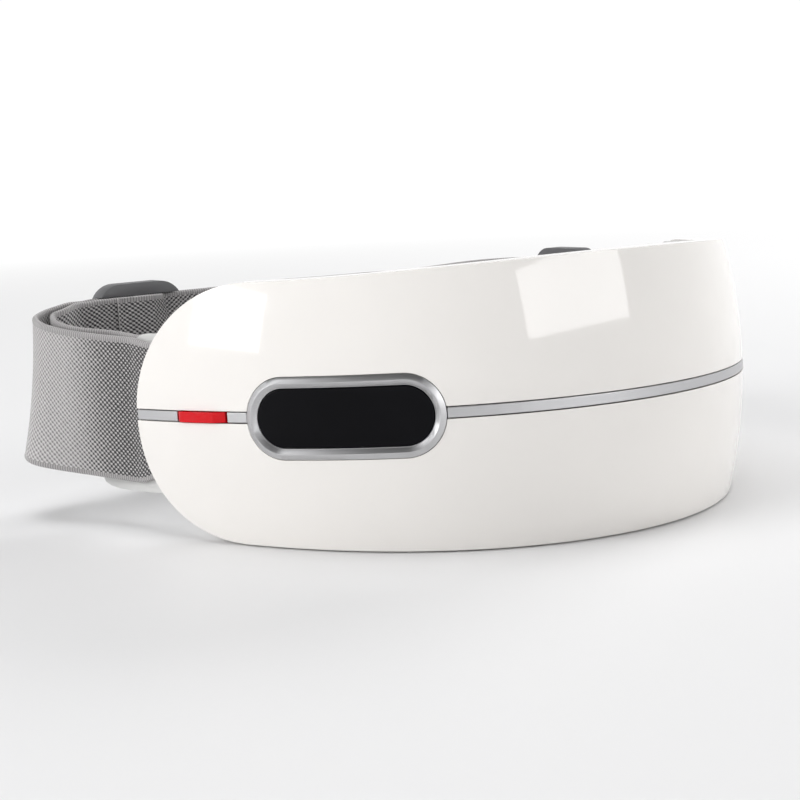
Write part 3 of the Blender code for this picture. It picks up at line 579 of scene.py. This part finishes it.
def finishes():
    """Every finish by the record's material slot, which is also its name."""
    looks = (
        moulded("white_gloss", (0.86, 0.835, 0.805), 0.07, shift=0.012, grain=0.004, scale=500.0,
                Coat_Weight=0.35, Coat_Roughness=0.03),
        brushed("satin_silver", (0.56, 0.56, 0.57), 0.34),
        moulded("black_gloss", (0.003, 0.003, 0.004), 0.045, shift=0.25, grain=0.002, scale=300.0,
                Specular_IOR_Level=0.08),
        moulded("red_gloss", (0.62, 0.004, 0.010), 0.16, shift=0.05, grain=0.01, Specular_IOR_Level=0.22),
        moulded("pale_plastic", (0.60, 0.60, 0.59), 0.34),
        moulded("rear_plastic", (0.50, 0.50, 0.495), 0.42, grain=0.08),
        leather("cushion_leather", (0.085, 0.085, 0.09)),
        knit("eye_fabric", (0.20, 0.20, 0.21)),
        webbing("elastic_webbing", (0.565, 0.545, 0.545), (0.016, 0.015, 0.017)),
        moulded("dark_plastic", (0.105, 0.105, 0.11), 0.38, grain=0.06),
        circuit("circuit_board"),
        moulded("weight_metal", (0.55, 0.45, 0.28), 0.35, Metallic=1.0),
        moulded("heater_film", (0.50, 0.24, 0.05), 0.3),
        moulded("air_bladder", (0.66, 0.66, 0.68), 0.4),
        moulded("battery_foil", (0.55, 0.57, 0.60), 0.3, Metallic=0.8),
        moulded("tube_rubber", (0.55, 0.55, 0.54), 0.5),
        moulded("steel", (0.56, 0.56, 0.57), 0.3, Metallic=1.0),
    )
    return {look.name: look.material for look in looks}


# ---- front: shells, trim, display, button ----------------------------------------------------------------
def make_shells(look):
    """Upper and lower front shell: one bowl, each with the other's half cut away."""
    for name, sign in (("upper_front_shell", 1), ("lower_front_shell", -1)):
        skin = outline(CAP_START, CAP_LENGTH, 0.0, SHELL_LIFT)
        shell = prism(skin, 0.0, SHELL_RIM_DEPTH)
        hollow = prism(inset(skin, SHELL_RIM_T), SHELL_T, SHELL_RIM_DEPTH + 5)
        other_half = box(-200, 200, -5, 30, *sorted((sign * (TRIM_H / 2 + TRIM_GAP), -sign * 90.0)))
        display = pill(DISPLAY_S, DISPLAY_Z, BEZEL_HALF_L + DISPLAY_GAP, BEZEL_HALF_H + DISPLAY_GAP)
        cut(shell, hollow, other_half, prism(display, -3, 12))
        cut(shell, *both_sides(MOUTH_FROM, MOUTH_TO, SHELL_T + 0.15, 30, -LUG_HALF_H - 1, LUG_HALF_H + 1))
        roll_up(shell, name + "_skin", look["white_gloss"], bevel=0.3)
        place(shell, MAIN, "white_gloss", name)


def strip(s0, s1, half_h=TRIM_H / 2, d0=TRIM_D0, d1=TRIM_D1):
    """Straight strip along the trim line."""
    return box(s0, s1, d0, d1, -half_h, half_h)


def make_trim(look):
    """Silver trim strips on both sides of the display and the button, and the bezel between them."""
    silver = look["satin_silver"]
    runs = {
        "trim_line": (DISPLAY_S + BEZEL_HALF_L + 0.1, HALF_ARC - 0.1),
        "trim_stub": (BUTTON_S + 8.7, DISPLAY_S - BEZEL_HALF_L - 0.1),
        "trim_tip_end": (-HALF_ARC + 0.1, BUTTON_S - 9.65),
    }
    for name, (s0, s1) in runs.items():
        piece = roll_up(strip(s0, s1), name, silver, steps=(1.5, 0), bevel=0.25)
        place(piece, MAIN, "satin_silver", *(["trim_tip"] if name == "trim_tip_end" else []))
    piece = roll_up(bezel_solid(), "bezel_ring", silver, steps=(1.5, 0))
    place(piece, MAIN, "satin_silver", "display_bezel_trim")


# section of the bezel, (inset from its outer edge, depth): a face that slopes up to a ridge, a steeper
# chamfer inside it and a thin ledge round the glass
BEZEL_PROFILE = ((0.0, 4.2), (0.0, 0.12), (0.1, -0.08), (1.45, -0.66), (1.6, -0.7), (1.75, -0.64),
                 (2.8, 0.42), (2.9, 0.5), (3.02, 0.5), (3.1, 0.62), (3.1, 4.2))


def bezel_solid():
    """Pill-shaped ring with the bezel's section."""
    bm = bmesh.new()
    loops = []
    for inward, depth in BEZEL_PROFILE:
        points = pill(DISPLAY_S, DISPLAY_Z, BEZEL_HALF_L - inward, BEZEL_HALF_H - inward, turns=40)
        loops.append([bm.verts.new((s, depth, z)) for s, z in points])
    loops.append(loops[0])
    for a, b in zip(loops, loops[1:]):
        for i in range(len(a)):
            j = (i + 1) % len(a)
            bm.faces.new((a[i], a[j], b[j], b[i]))
    bmesh.ops.recalc_face_normals(bm, faces=bm.faces)
    return from_bmesh(bm, "shape")


def make_display(look):
    """Black glass in the bezel."""
    window = prism(pill(DISPLAY_S, DISPLAY_Z, GLASS_HALF_L, GLASS_HALF_H), 0.35, 1.6)
    roll_up(window, "window_glass", look["black_gloss"], bevel=0.35, segments=4, steps=(1.5, 2.5))
    place(window, MAIN, "black_gloss", "display_window")


def make_button(look):
    """Proud red key with sloping ends and a flange, and a black strip behind the gap round it, which paints
    the shade inside the gap.
    """
    left, right, half_h = BUTTON_S - 9.4, BUTTON_S + 7.9, TRIM_H / 2 - 0.02
    profile = ((left, 0.35), (left + 1.9, -BUTTON_PROUD), (right - 3.4, -BUTTON_PROUD), (right, 0.35),
               (right, 2.6), (left, 2.6))
    cap = extrude([(s, d, -half_h) for s, d in profile], (0, 0, 2 * half_h))
    join(cap, box(left, right, 2.55, 3.4, -4.5, 4.5))
    roll_up(cap, "button_cap", look["red_gloss"], bevel=0.28, segments=4, steps=(1.0, 0), limit=20.0)
    place(cap, BUTTON, "red_gloss", "power_button")
    # black strip behind the gap round the button: painted shade inside the gap
    gap_shade_strip = strip(left - 0.6, right + 1.6, TRIM_H / 2 + TRIM_GAP + 0.4)
    gap_shade_strip.data.transform(Matrix.Translation((0, 4.2, 0)))
    roll_up(gap_shade_strip, "trim_gap_shade_strip_button", look["black_gloss"], steps=(1.5, 0))
    place(gap_shade_strip, MAIN, "black_gloss")


def make_gap_shade_strips(look):
    """Black strips behind the hairline gaps above and below the trim line, which paint the shade inside the
    gaps.
    """
    runs = {
        "long": (DISPLAY_S + BEZEL_HALF_L - 2, HALF_ARC - 2.0),
        "stub": (BUTTON_S + BUTTON_L / 2 + 0.8, DISPLAY_S - BEZEL_HALF_L + 2),
        "tip": (-HALF_ARC + 2.0, BUTTON_S - BUTTON_L / 2 - 0.8),
    }
    for name, (s0, s1) in runs.items():
        # black strips behind the gaps: painted shade inside them
        piece = strip(s0, s1, TRIM_H / 2 + 0.8, SHADE_STRIP_D0, SHADE_STRIP_D1)
        roll_up(piece, "trim_gap_shade_strip_" + name, look["black_gloss"], steps=(2.0, 0))
        place(piece, MAIN, "black_gloss")


# ---- rear: housing, cushion, eye pads --------------------------------------------------------------------
SCREW_PLACES = ((-66.0, 27.0), (66.0, 27.0), (-66.0, -27.0), (66.0, -27.0))


def make_housing(look):
    """Tray that closes the back, with bores for its screws and for the eye pads' tubes."""
    edge = outline(HOUSING_CAP_START, HOUSING_CAP_LENGTH, 2.1, 0.0, nose=NOSE_RISE, end_drop=0.2)
    tray = prism(edge, HOUSING_D0, HOUSING_D1)
    round_off(tray, 2.4, lambda e: min(v.co.y for v in e.verts) > HOUSING_D1 - 0.1)
    round_off(tray, 0.4, lambda e: max(v.co.y for v in e.verts) < HOUSING_D0 + 0.1)
    hollow = prism(inset(edge, HOUSING_T), HOUSING_D0 - 5, HOUSING_D1 - HOUSING_T)
    ends = both_sides(134.0, 160.0, 2, HOUSING_D0 + 8, -LUG_HALF_H - 1, LUG_HALF_H + 1)
    bores = [prism(ellipse(s, z, 2.2, 2.2, 24), HOUSING_D1 - 2.4, HOUSING_D1 + 2) for s, z in SCREW_PLACES]
    bores += [prism(ellipse(s, EYE_Z, 2.8, 2.8, 24), HOUSING_D1 - 5, HOUSING_D1 + 3) for s in (-EYE_S, EYE_S)]
    cut(tray, hollow, *ends, *bores, port_cutter(-float(trim_height(PORT_S))))
    roll_up(tray, "rear_tray", look["rear_plastic"])
    place(tray, MAIN, "rear_plastic", "rear_housing")


def round_off(obj, width, keep):
    """Rounds the sharp edges of an unrolled solid that keep() picks."""
    bm = bmesh.new()
    bm.from_mesh(obj.data)
    bevel_edges(bm, width, 4, 50.0, keep)
    bm.to_mesh(obj.data)
    bm.free()


def port_cutter(low):
    """Opening for the charging port in the underside, which is at height low."""
    mouth = rounded_rect(PORT_S - 5.6, PORT_S + 5.6, PORT_D - 3.2, PORT_D + 3.6, 2.6)
    return extrude([(s, d, low - 2) for s, d in mouth], (0, 0, 8))


def puff(obj, name, finish, voxel, most, back):
    """Makes a stuffed pad of an unrolled solid: fine mesh, wrapped, swollen by cloth pressure.

    It swells by at most `most` mm. Its base at depth `back` stays where it is, because it is glued down.
    """
    remesh = obj.modifiers.new("remesh", "REMESH")
    remesh.mode = "VOXEL"
    remesh.voxel_size = voxel
    apply_modifiers(obj)
    flat = coordinates(obj.data)
    start = wrap(flat)
    obj.data.vertices.foreach_set("co", start.ravel())
    obj.data.update()
    cloth = obj.modifiers.new("cloth", "CLOTH").settings
    cloth.use_pressure = True
    cloth.uniform_pressure_force = 4.0
    cloth.effector_weights.gravity = 0.0
    for step in range(1, 21):
        bpy.context.scene.frame_set(step)
    apply_modifiers(obj)
    bpy.context.scene.frame_set(1)
    moved = coordinates(obj.data) - start
    far = np.linalg.norm(moved, axis=1, keepdims=True)
    free = smooth((flat[:, 1:2] - back - 0.5) / 5.0)
    moved *= free * np.minimum(1.0, most * MM / np.maximum(far, 1e-9))
    obj.data.vertices.foreach_set("co", (start + moved).ravel())
    finer = obj.modifiers.new("finer", "SUBSURF")
    finer.levels = finer.render_levels = 1
    apply_modifiers(obj)
    dress(obj, name, finish, sharp=180.0)


def piping(name, points, depth, radius, pad, finish):
    """Thin welt laid on a pad's skin along an unrolled closed line."""
    path = [Vector(p) for p in wrap([(s, depth, z) for s, z in points])]
    found = [pad.closest_point_on_mesh(p) for p in path]
    bm = bmesh.new()
    rings = []
    for i, (_, at, normal, _) in enumerate(found):
        along = (found[(i + 1) % len(found)][1] - found[i - 1][1]).normalized()
        side = normal.cross(along).normalized()
        ring = []
        for k in range(8):
            a = math.pi * k / 4
            ring.append(bm.verts.new(at + (side * math.cos(a) + normal * math.sin(a)) * radius * MM))
        rings.append(ring)
    for a, b in zip(rings, rings[1:] + rings[:1]):
        for k in range(8):
            bm.faces.new((a[k], a[(k + 1) % 8], b[(k + 1) % 8], b[k]))
    bmesh.ops.recalc_face_normals(bm, faces=bm.faces)
    welt = dress(from_bmesh(bm, name), name, finish, sharp=180.0)
    place(welt, MAIN, "cushion_leather")


def make_cushion(look):
    """Face cushion with welts round its edge and its eye openings, and the two eye pads in them."""
    hide = look["cushion_leather"]
    edge = outline(CUSHION_CAP_START, CUSHION_CAP_LENGTH, 4.0, 3.0, nose=NOSE_RISE + 6, end_drop=0.8)
    pad = prism(inset(edge, 1.0), CUSHION_D0, CUSHION_D1 - 1.2)
    openings = [ellipse(side * EYE_S, EYE_Z, EYE_HALF_L + 2.4, EYE_HALF_H + 2.4) for side in (-1, 1)]
    cut(pad, *[prism(opening, CUSHION_D0 - 3, CUSHION_D1 + 3) for opening in openings])
    puff(pad, "face_pad", hide, voxel=3.2, most=2.2, back=CUSHION_D0)
    place(pad, MAIN, "cushion_leather", "face_cushion")
    piping("face_pad_welt", inset(edge, 0.6), CUSHION_D1 - 3.2, 0.55, pad, hide)
    for side, hand in ((-1, "right"), (1, "left")):
        rim = ellipse(side * EYE_S, EYE_Z, EYE_HALF_L + 3.6, EYE_HALF_H + 3.6)
        piping("eye_welt_" + hand, rim, CUSHION_D1, 0.45, pad, hide)
        cover = prism(ellipse(side * EYE_S, EYE_Z, EYE_HALF_L - 0.6, EYE_HALF_H - 0.6), EYE_D0, EYE_D1)
        puff(cover, "eye_cover_" + hand, look["eye_fabric"], voxel=2.0, most=1.6, back=EYE_D0)
        place(cover, MAIN, "eye_fabric", "eye_pad_" + hand)


# ---- strap, lugs and sliders -----------------------------------------------------------------------------
BAND_HALF_T, TAIL_HALF_T, HEM_HALF_T = 0.85, 0.78, 0.28
BEAD_R = 0.95                # radius of the band's rolled edges
TAIL_GAP = 4.8               # from the outer layer's middle to the inner layer's
HEM_Y = 158.9                # the turned-in end that lies on the right tail's inner side
TAIL_SLANT = -0.19           # the right tail's end is cut aslant: longer below
SLACK_MORE = 0.0775          # share by which the slack band is wider
SLACK_SAG = 7.0              # fall of its middle for each unit of that share
PLAIN_OPENING, TAIL_OPENING_AND_SHADE = 0.75, 0.8      # how far the weave is drawn open; the tails' higher value also paints the shade inside the strap's loop
TAUT_OPENING_AND_SHADE, OPENING_AND_SHADE_FALL = 1.15, 0.79      # the same at the right lug, set above full opening to paint the shell's shade on the band, and how much less at the fold
SPAN_STEPS = 6               # points for each span between two route points
RIGHT_TAIL_SPANS, LEFT_TAIL_SPANS = 10, 4
SLIDER_SLOT, SLIDER_RAIL = 1.1, 3.4          # the slot's half width and the rails' height


def make_lugs(look):
    """Flat lugs at the temples, each with a slot that the band passes through."""
    for side, hand in ((-1, "right"), (1, "left")):
        tip, slant = (LUG_TIP + 2.0, LUG_SLANT) if side < 0 else (LUG_TIP, 0.0)
        edge = rounded_rect(LUG_ROOT, tip, -LUG_HALF_H, LUG_HALF_H, 5.0)
        body = prism([(s - slant * z if s > 160.0 else s, z) for s, z in edge], LUG_D0, LUG_D1)
        slot = box(LUG_SLOT, LUG_BAR, LUG_D0 - 2, LUG_D1 + 2, -SLOT_HALF_H, SLOT_HALF_H)
        bay = box(LUG_ROOT - 2, 144.5, LUG_D0 - 2, LUG_D1 + 2, -11.5, 11.5)
        holes = [prism(ellipse(133.0, z, 1.2, 1.2, 20), 2, 11) for z in (-17.5, 17.5)]
        cut(body, slot, bay, *holes)
        if side < 0:
            join(body, prism(LUG_FOOT, LUG_D0 + 0.1, LUG_D1 - 0.1))
        body.data.transform(Matrix.Diagonal((side, 1, 1, 1)))
        if side < 0:
            body.data.flip_normals()
        roll_up(body, "lug_" + hand, look["pale_plastic"], steps=(1.5, 0), bevel=0.45, curved=False)
        place(body, MAIN, "pale_plastic", "strap_lug_" + hand)


def make_slider(hand, body, x, y, angle, look):
    """Slider with a middle bar on its inner side. Modelled along X, outer side at +Y."""
    half_l, half_h = SLIDER_LEN / 2, SLIDER_H / 2
    high = half_h - SLIDER_RAIL - 0.45
    piece = prism(rounded_rect(-half_l, half_l, -half_h, half_h, 8.0, turns=12), -3.4, 3.2)
    slot = box(-half_l - 5, half_l + 5, -SLIDER_SLOT, SLIDER_SLOT, -high, high)
    window = prism(rounded_rect(-half_l + 4.2, half_l - 4.2, -high, high, 2.0), 0.5, 6)
    beside_bar = [box(*ends, -6, -0.5, -high, high) for ends in ((-half_l - 5, -2.2), (2.2, half_l + 5))]
    cut(piece, slot, window, *beside_bar)
    bm = bmesh.new()
    bm.from_mesh(piece.data)
    bmesh.ops.remove_doubles(bm, verts=bm.verts, dist=0.002)
    bevel_edges(bm, 0.6, 3)
    bm.to_mesh(piece.data)
    bm.free()
    set_down(piece, "slider_" + hand, look["dark_plastic"], x, y, angle)
    place(piece, body, "dark_plastic", "strap_slider_" + hand)


def set_down(obj, name, finish, x, y, angle):
    """Puts a piece modelled about the band's middle, in millimetres, at a plan point."""
    obj.data.transform(Matrix.Scale(MM, 4))
    obj.data.transform(Matrix.Rotation(angle, 4, "Z"))
    obj.data.transform(Matrix.Translation(world(x, y, strap_height(x, y))))
    dress(obj, name, finish)


def plan_point(s, d):
    """Plan position of a point at mid height of the unrolled mask."""
    a = turning(s)
    return (plan_x(s) - d * math.sin(a), plan_y(s) + d * math.cos(a))


def lug_wrap(side):
    """Band from its inner layer, round the lug's bar, to its outer layer."""
    points = [plan_point(side * s, WRAP_D + WRAP_R) for s in (168.0, 162.0, 156.0)]
    for i in range(7):
        a = math.pi / 2 + math.pi * i / 6
        points.append(plan_point(side * (WRAP_S + WRAP_R * math.cos(a)), WRAP_D + WRAP_R * math.sin(a)))
    points += [plan_point(side * s, WRAP_D - WRAP_R) for s in (156.0, 162.0, 168.0)]
    return points


def strap_route():
    """Plan points of the band and its two tails, as in the CAD, from the right tail's end to the left's."""
    back, side = STRAP_BACK_Y, STRAP_RIGHT_X
    tail_y, tail_x = back - TAIL_GAP, side - TAIL_GAP
    right_tail = [(-60.2, tail_y), (-67.0, tail_y), (-74.0, tail_y), (-81.0, tail_y),
                  (-88.6, tail_y + 0.05), (-94.0, tail_y + 0.1), (-101.0, back - 7.1), (-106.6, 155.6),
                  (-108.4, 148.5), (-104.6, 138.0), (-97.4, 127.0)]
    right_fold = [(-105.0, 127.0), (-110.3, 139.0), (-113.4, 149.5), (-111.3, 157.8), (-104.4, 163.4),
                  (-96.0, back - 0.1), (-88.0, back)]
    back_run = [(-75.0, back), (-60.0, back), (-45.0, back), (-30.0, back), (-15.0, back), (0.0, back),
                (14.0, back + 1.6), (34.0, back + 7.0), (56.0, back + 15.0), (76.0, back + 21.5),
                (90.0, back + 23.0), (100.0, back + 19.5), (104.8, back + 13.0)]
    left_run = [(side, back + 7.5), (side, 160.0), (side, 145.0), (side, 133.0), (104.6, 124.0)]
    left_tail = [(97.9, 119.5), (98.9, 124.5), (tail_x - 0.3, 133.0), (tail_x, 142.0), (tail_x, 154.0),
                 (tail_x, 167.0)]
    return right_tail + lug_wrap(-1) + right_fold + back_run + left_run + lug_wrap(1)[::-1] + left_tail


def strap_height(x, y):
    """Height of the band's middle over the table: low at the lugs, higher where it crosses the back."""
    lug_z = float(trim_height(158.0)) + 0.3
    if x < 0:
        side = min(max((y - 105.0) / 50.0, 0.0), 1.0) ** 1.9
        corner = min(max((x + 113.0) / 26.0, 0.0), 1.0) * float(smooth((y - 146.0) / 14.0))
        return lug_z + (BACK_STRAP_Z - lug_z) * (0.52 * side + 0.48 * corner)
    back_z = BACK_STRAP_Z - 1.6 * smooth((x - 5.0) / 50.0)
    return lug_z + (back_z - lug_z) * smooth((y - 106.0) / 18.0)


def spline(points):
    """Smooth path through plan points."""
    p = np.array([points[0], *points, points[-1]], float)
    path = []
    for a, b, c, d in zip(p, p[1:], p[2:], p[3:]):
        for k in range(SPAN_STEPS):
            t = k / SPAN_STEPS
            path.append(0.5 * (2 * b + (c - a) * t + (2 * a - 5 * b + 4 * c - d) * t ** 2
                               + (3 * b - a - 3 * c + d) * t ** 3))
    return np.array(path + [p[-2]])


def band_section(half_t):
    """Closed section of the band, (offset across its thickness, height): flat sides and rolled edges."""
    bead = half_t + BEAD_R - BAND_HALF_T
    rim = STRAP_W / 2 - bead
    heights = np.linspace(-rim + 0.9, rim - 0.9, 13)
    turn = np.linspace(0.0, math.pi, 9)
    section = [(half_t, h) for h in heights]
    section += [(bead * math.cos(a), rim + bead * math.sin(a)) for a in turn]
    section += [(-half_t, h) for h in reversed(heights)]
    return section + [(-bead * math.cos(a), -rim - bead * math.sin(a)) for a in turn]


def slack(x, y):
    """How much wider the slack band by the right fold is than where it is stretched, as a share."""
    return SLACK_MORE * float(smooth((-88.0 - x) / 8.0) * smooth((y - 103.0) / 9.0))


def fold_lean(x, y, h):
    """How far the band leans out of the loop where it folds back at the right: its lower edge flares."""
    near = math.exp(-((y - 152.0) / 14.0) ** 2) * float(smooth((-88.0 - x) / 14.0))
    k = h / (STRAP_W / 2)
    return near * (-3.15 * k + 1.2 * k * k - 0.8)


def make_band(name, path, run, finish, half_t=BAND_HALF_T, caps=(True, True), slant=0.0, opening=None):
    """Band standing on edge along a plan path.

    run holds each point's distance along the whole band. slant cuts the first end aslant.
    """
    section = band_section(half_t)
    along = np.gradient(path, axis=0)
    along /= np.linalg.norm(along, axis=1, keepdims=True)
    bm = bmesh.new()
    cloth_map = bm.loops.layers.uv.new("flat")
    rings = []
    for i, ((x, y), (tx, ty)) in enumerate(zip(path, along)):
        out = 1.0 if -ty * x + tx * (y - 100.0) > 0 else -1.0
        loose = slack(x, y)
        middle = strap_height(x, y) - SLACK_SAG * loose
        cut_back = slant * max(0.0, 1.0 - (run[i] - run[0]) / 8.0)
        ring = []
        for t, h in section:
            off = t + out * fold_lean(x, y, h)
            ring.append(bm.verts.new(world(x - ty * off - tx * cut_back * h, y + tx * off - ty * cut_back * h,
                                           middle + h * (1.0 + loose))))
        rings.append(ring)
    count = len(section)
    for i, (a, b) in enumerate(zip(rings, rings[1:])):
        for k in range(count):
            j = (k + 1) % count
            face = bm.faces.new((a[k], a[j], b[j], b[k]))
            for loop, step, at in zip(face.loops, (i, i, i + 1, i + 1), (k, j, j, k)):
                loop[cloth_map].uv = (run[step] * 0.1, section[at][1] * 0.1)
    for ring, capped in ((rings[0], caps[0]), (rings[-1], caps[1])):
        if capped:
            for loop in bm.faces.new(ring).loops:
                loop[cloth_map].uv = (0.0, 0.0)
    bmesh.ops.recalc_face_normals(bm, faces=bm.faces)
    obj = from_bmesh(bm, name)
    opening_and_shade = obj.data.attributes.new("open", "FLOAT", "POINT")
    # these levels also paint shade: darker near the right lug, and on the tails and hem inside the loop
    levels = [opening or weave_opening_and_shade(x, y) for x, y in path for _ in section]
    opening_and_shade.data.foreach_set("value", levels)
    return dress(obj, name, finish)


def weave_opening_and_shade(x, y):
    """How far the weave is drawn open, with painted shade: most at the right lug, where the band is taut and
    the value above 1 paints the shell's shade on it, least at the fold.
    """
    if x > 0:
        return PLAIN_OPENING
    # above 1 near the right lug this is painted shade from the shell, not only the weave's opening
    taut = TAUT_OPENING_AND_SHADE - OPENING_AND_SHADE_FALL * float(smooth((y - 112.0) / 26.0))
    back = float(smooth((x + 112.0) / 20.0) * smooth((y - 150.0) / 10.0))
    return taut + (PLAIN_OPENING - taut) * back


def make_strap(look):
    """The band from lug to lug, its two tails, which stretch with the sliders, and the right tail's hem."""
    web = look["elastic_webbing"]
    path = spline(strap_route())
    steps = np.linalg.norm(np.diff(path, axis=0), axis=1)
    run = np.concatenate([[0.0], np.cumsum(steps)])
    first = SPAN_STEPS * RIGHT_TAIL_SPANS
    last = len(path) - 1 - SPAN_STEPS * LEFT_TAIL_SPANS
    band = make_band("strap_loop", path[first:last + 1], run[first:last + 1], web, caps=(False, False))
    place(band, MAIN, "elastic_webbing", "strap_band")
    tail = make_band("strap_tail_right", path[:first + 1], run[:first + 1], web, TAIL_HALF_T, (True, False),
                     TAIL_SLANT, TAIL_OPENING_AND_SHADE)
    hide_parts("strap_tab_right")
    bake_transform(tail)
    tail = make_band("strap_tail_left", path[last:], run[last:], web, TAIL_HALF_T, (False, True),
                     opening=TAIL_OPENING_AND_SHADE)
    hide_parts("strap_tab_left")
    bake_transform(tail)
    hem_path = spline([(-60.2, HEM_Y), (-66.0, HEM_Y), (-73.0, HEM_Y), (-80.0, HEM_Y + 0.05)])
    hem_run = np.linspace(1.0, 20.8, len(hem_path))
    hem = make_band("strap_hem_right", hem_path, hem_run, web, HEM_HALF_T, slant=TAIL_SLANT,
                    opening=TAIL_OPENING_AND_SHADE)
    place(hem, SLIDER_R, "elastic_webbing")


# ---- camera, floor and light -----------------------------------------------------------------------------
CAMERA_AT = (-315.68, -334.99, 108.13)       # millimetres, from the middle of the front
CAMERA_RIGHT = (0.8164, -0.5755, -0.0485)
CAMERA_UP = (0.1243, 0.0930, 0.9879)
CAMERA_BACK = (-0.5640, -0.8125, 0.1475)
LENS, SENSOR = 76.5, 36.0

# name, place and size in metres, power in watts, whether it lights surfaces, whether it shows in gloss
LIGHTS = (
    ("side_right_hand", (-1.60, 0.20, 0.90), (1.2, 1.0), 16.0, True, False),
    ("side_left_hand", (1.50, 0.40, 0.90), (0.8, 0.7), 15.5, True, False),
    ("front_left_hand", (1.35, -0.90, 0.55), (0.9, 0.7), 7.5, True, False),
    ("overhead", (-0.20, 0.15, 1.60), (1.0, 1.0), 13.0, True, False),
    ("window_front", (0.277, -1.367, 0.455), (1.15, 0.42), 5.0, False, True),
    ("window_side", (-1.477, 0.369, 0.35), (0.50, 0.32), 3.0, False, True),
    ("window_top", (-1.15, 0.42, 1.10), (0.60, 0.60), 2.4, False, True),
)
AIM = (0.0, -0.03, 0.04)             # the point that every light faces
FILL_LOW, FILL_HIGH = 1.32, 0.15     # strength of the surround's light at the horizon and high up
WHITE = 1.02                         # just over the display's white
FADE_FROM, FADE_TO = 0.35, 1.5       # metres from the middle over which the paper turns white


def make_camera():
    data = bpy.data.cameras.new("camera")
    data.lens = LENS
    data.sensor_width = SENSOR
    data.clip_start = 0.01
    camera = new_object("camera", data)
    turn = Matrix((CAMERA_RIGHT, CAMERA_UP, CAMERA_BACK)).transposed().normalized()
    camera.matrix_world = Matrix.Translation(world(*CAMERA_AT)) @ turn.to_4x4()
    bpy.context.scene.camera = camera


def make_surround():
    """White to the camera; to the mask, bright at the horizon and dim overhead."""
    studio = bpy.data.worlds.new("studio")
    bpy.context.scene.world = studio
    studio.use_nodes = True
    nodes, links = studio.node_tree.nodes, studio.node_tree.links
    seen = nodes["Background"]
    seen.inputs["Color"].default_value = (1.0, 1.0, 1.0, 1.0)
    seen.inputs["Strength"].default_value = WHITE
    fill = nodes.new("ShaderNodeBackground")
    mixed = nodes.new("ShaderNodeMixShader")
    ray = nodes.new("ShaderNodeLightPath")
    links.new(ray.outputs["Is Camera Ray"], mixed.inputs[0])
    links.new(fill.outputs[0], mixed.inputs[1])
    links.new(seen.outputs[0], mixed.inputs[2])
    links.new(mixed.outputs[0], nodes["World Output"].inputs["Surface"])
    parts = nodes.new("ShaderNodeSeparateXYZ")
    links.new(nodes.new("ShaderNodeTexCoord").outputs["Generated"], parts.inputs[0])
    height = nodes.new("ShaderNodeMapRange")
    for key, value in ((1, 0.0), (2, 0.75), (3, FILL_LOW), (4, FILL_HIGH)):
        height.inputs[key].default_value = value
    links.new(parts.outputs[2], height.inputs[0])
    links.new(height.outputs[0], fill.inputs["Strength"])


def make_floor():
    """Paper floor that fades to white far away."""
    bm = bmesh.new()
    bmesh.ops.create_grid(bm, x_segments=1, y_segments=1, size=8.0)
    floor = from_bmesh(bm, "floor")
    paper = Look("floor_paper", (0.75, 0.75, 0.755), 0.55)
    where = paper.node("NewGeometry").outputs["Position"]
    far = paper.node("VectorMath", {0: where}, operation="LENGTH").outputs["Value"]
    fade = paper.remap(far, FADE_FROM, FADE_TO, 0.0, 1.0)
    glow = paper.node("Emission", {"Strength": WHITE})
    blend = paper.node("MixShader", {0: fade, 1: paper.shader.outputs[0], 2: glow.outputs[0]})
    paper.tree.links.new(blend.outputs[0], paper.tree.nodes["Material Output"].inputs["Surface"])
    floor.data.materials.append(paper.material)


def area_light(name, at, size, power, lights, shows):
    """Soft box that faces the mask."""
    data = bpy.data.lights.new(name, "AREA")
    data.shape = "RECTANGLE"
    data.size, data.size_y = size
    data.energy = power
    light = new_object(name, data)
    aim = Vector(AIM) - Vector(at)
    light.matrix_world = Matrix.Translation(at) @ aim.to_track_quat("-Z", "Y").to_matrix().to_4x4()
    light.visible_diffuse = lights
    light.visible_glossy = shows


def main():
    look = finishes()
    slots = {part["node"]: part["material_slot"] for part in frame["record"]["subparts"]}
    for node, obj in frame["nodes"].items():
        obj.data.materials.clear()
        obj.data.materials.append(look[slots[node]])
        obj.data.shade_smooth()
        obj.data.set_sharp_from_angle(angle=math.radians(35))
    make_shells(look)
    make_trim(look)
    make_display(look)
    make_button(look)
    make_gap_shade_strips(look)
    make_housing(look)
    make_cushion(look)
    make_lugs(look)
    make_slider("right", SLIDER_R, SLIDER_LEFT_X, STRAP_BACK_Y, 0.0, look)
    make_slider("left", SLIDER_L, STRAP_RIGHT_X, SLIDER_RIGHT_Y, -math.pi / 2, look)
    make_strap(look)
    make_camera()
    make_surround()
    make_floor()
    for light in LIGHTS:
        area_light(*light)
    bpy.context.scene.view_settings.view_transform = "Standard"


main()
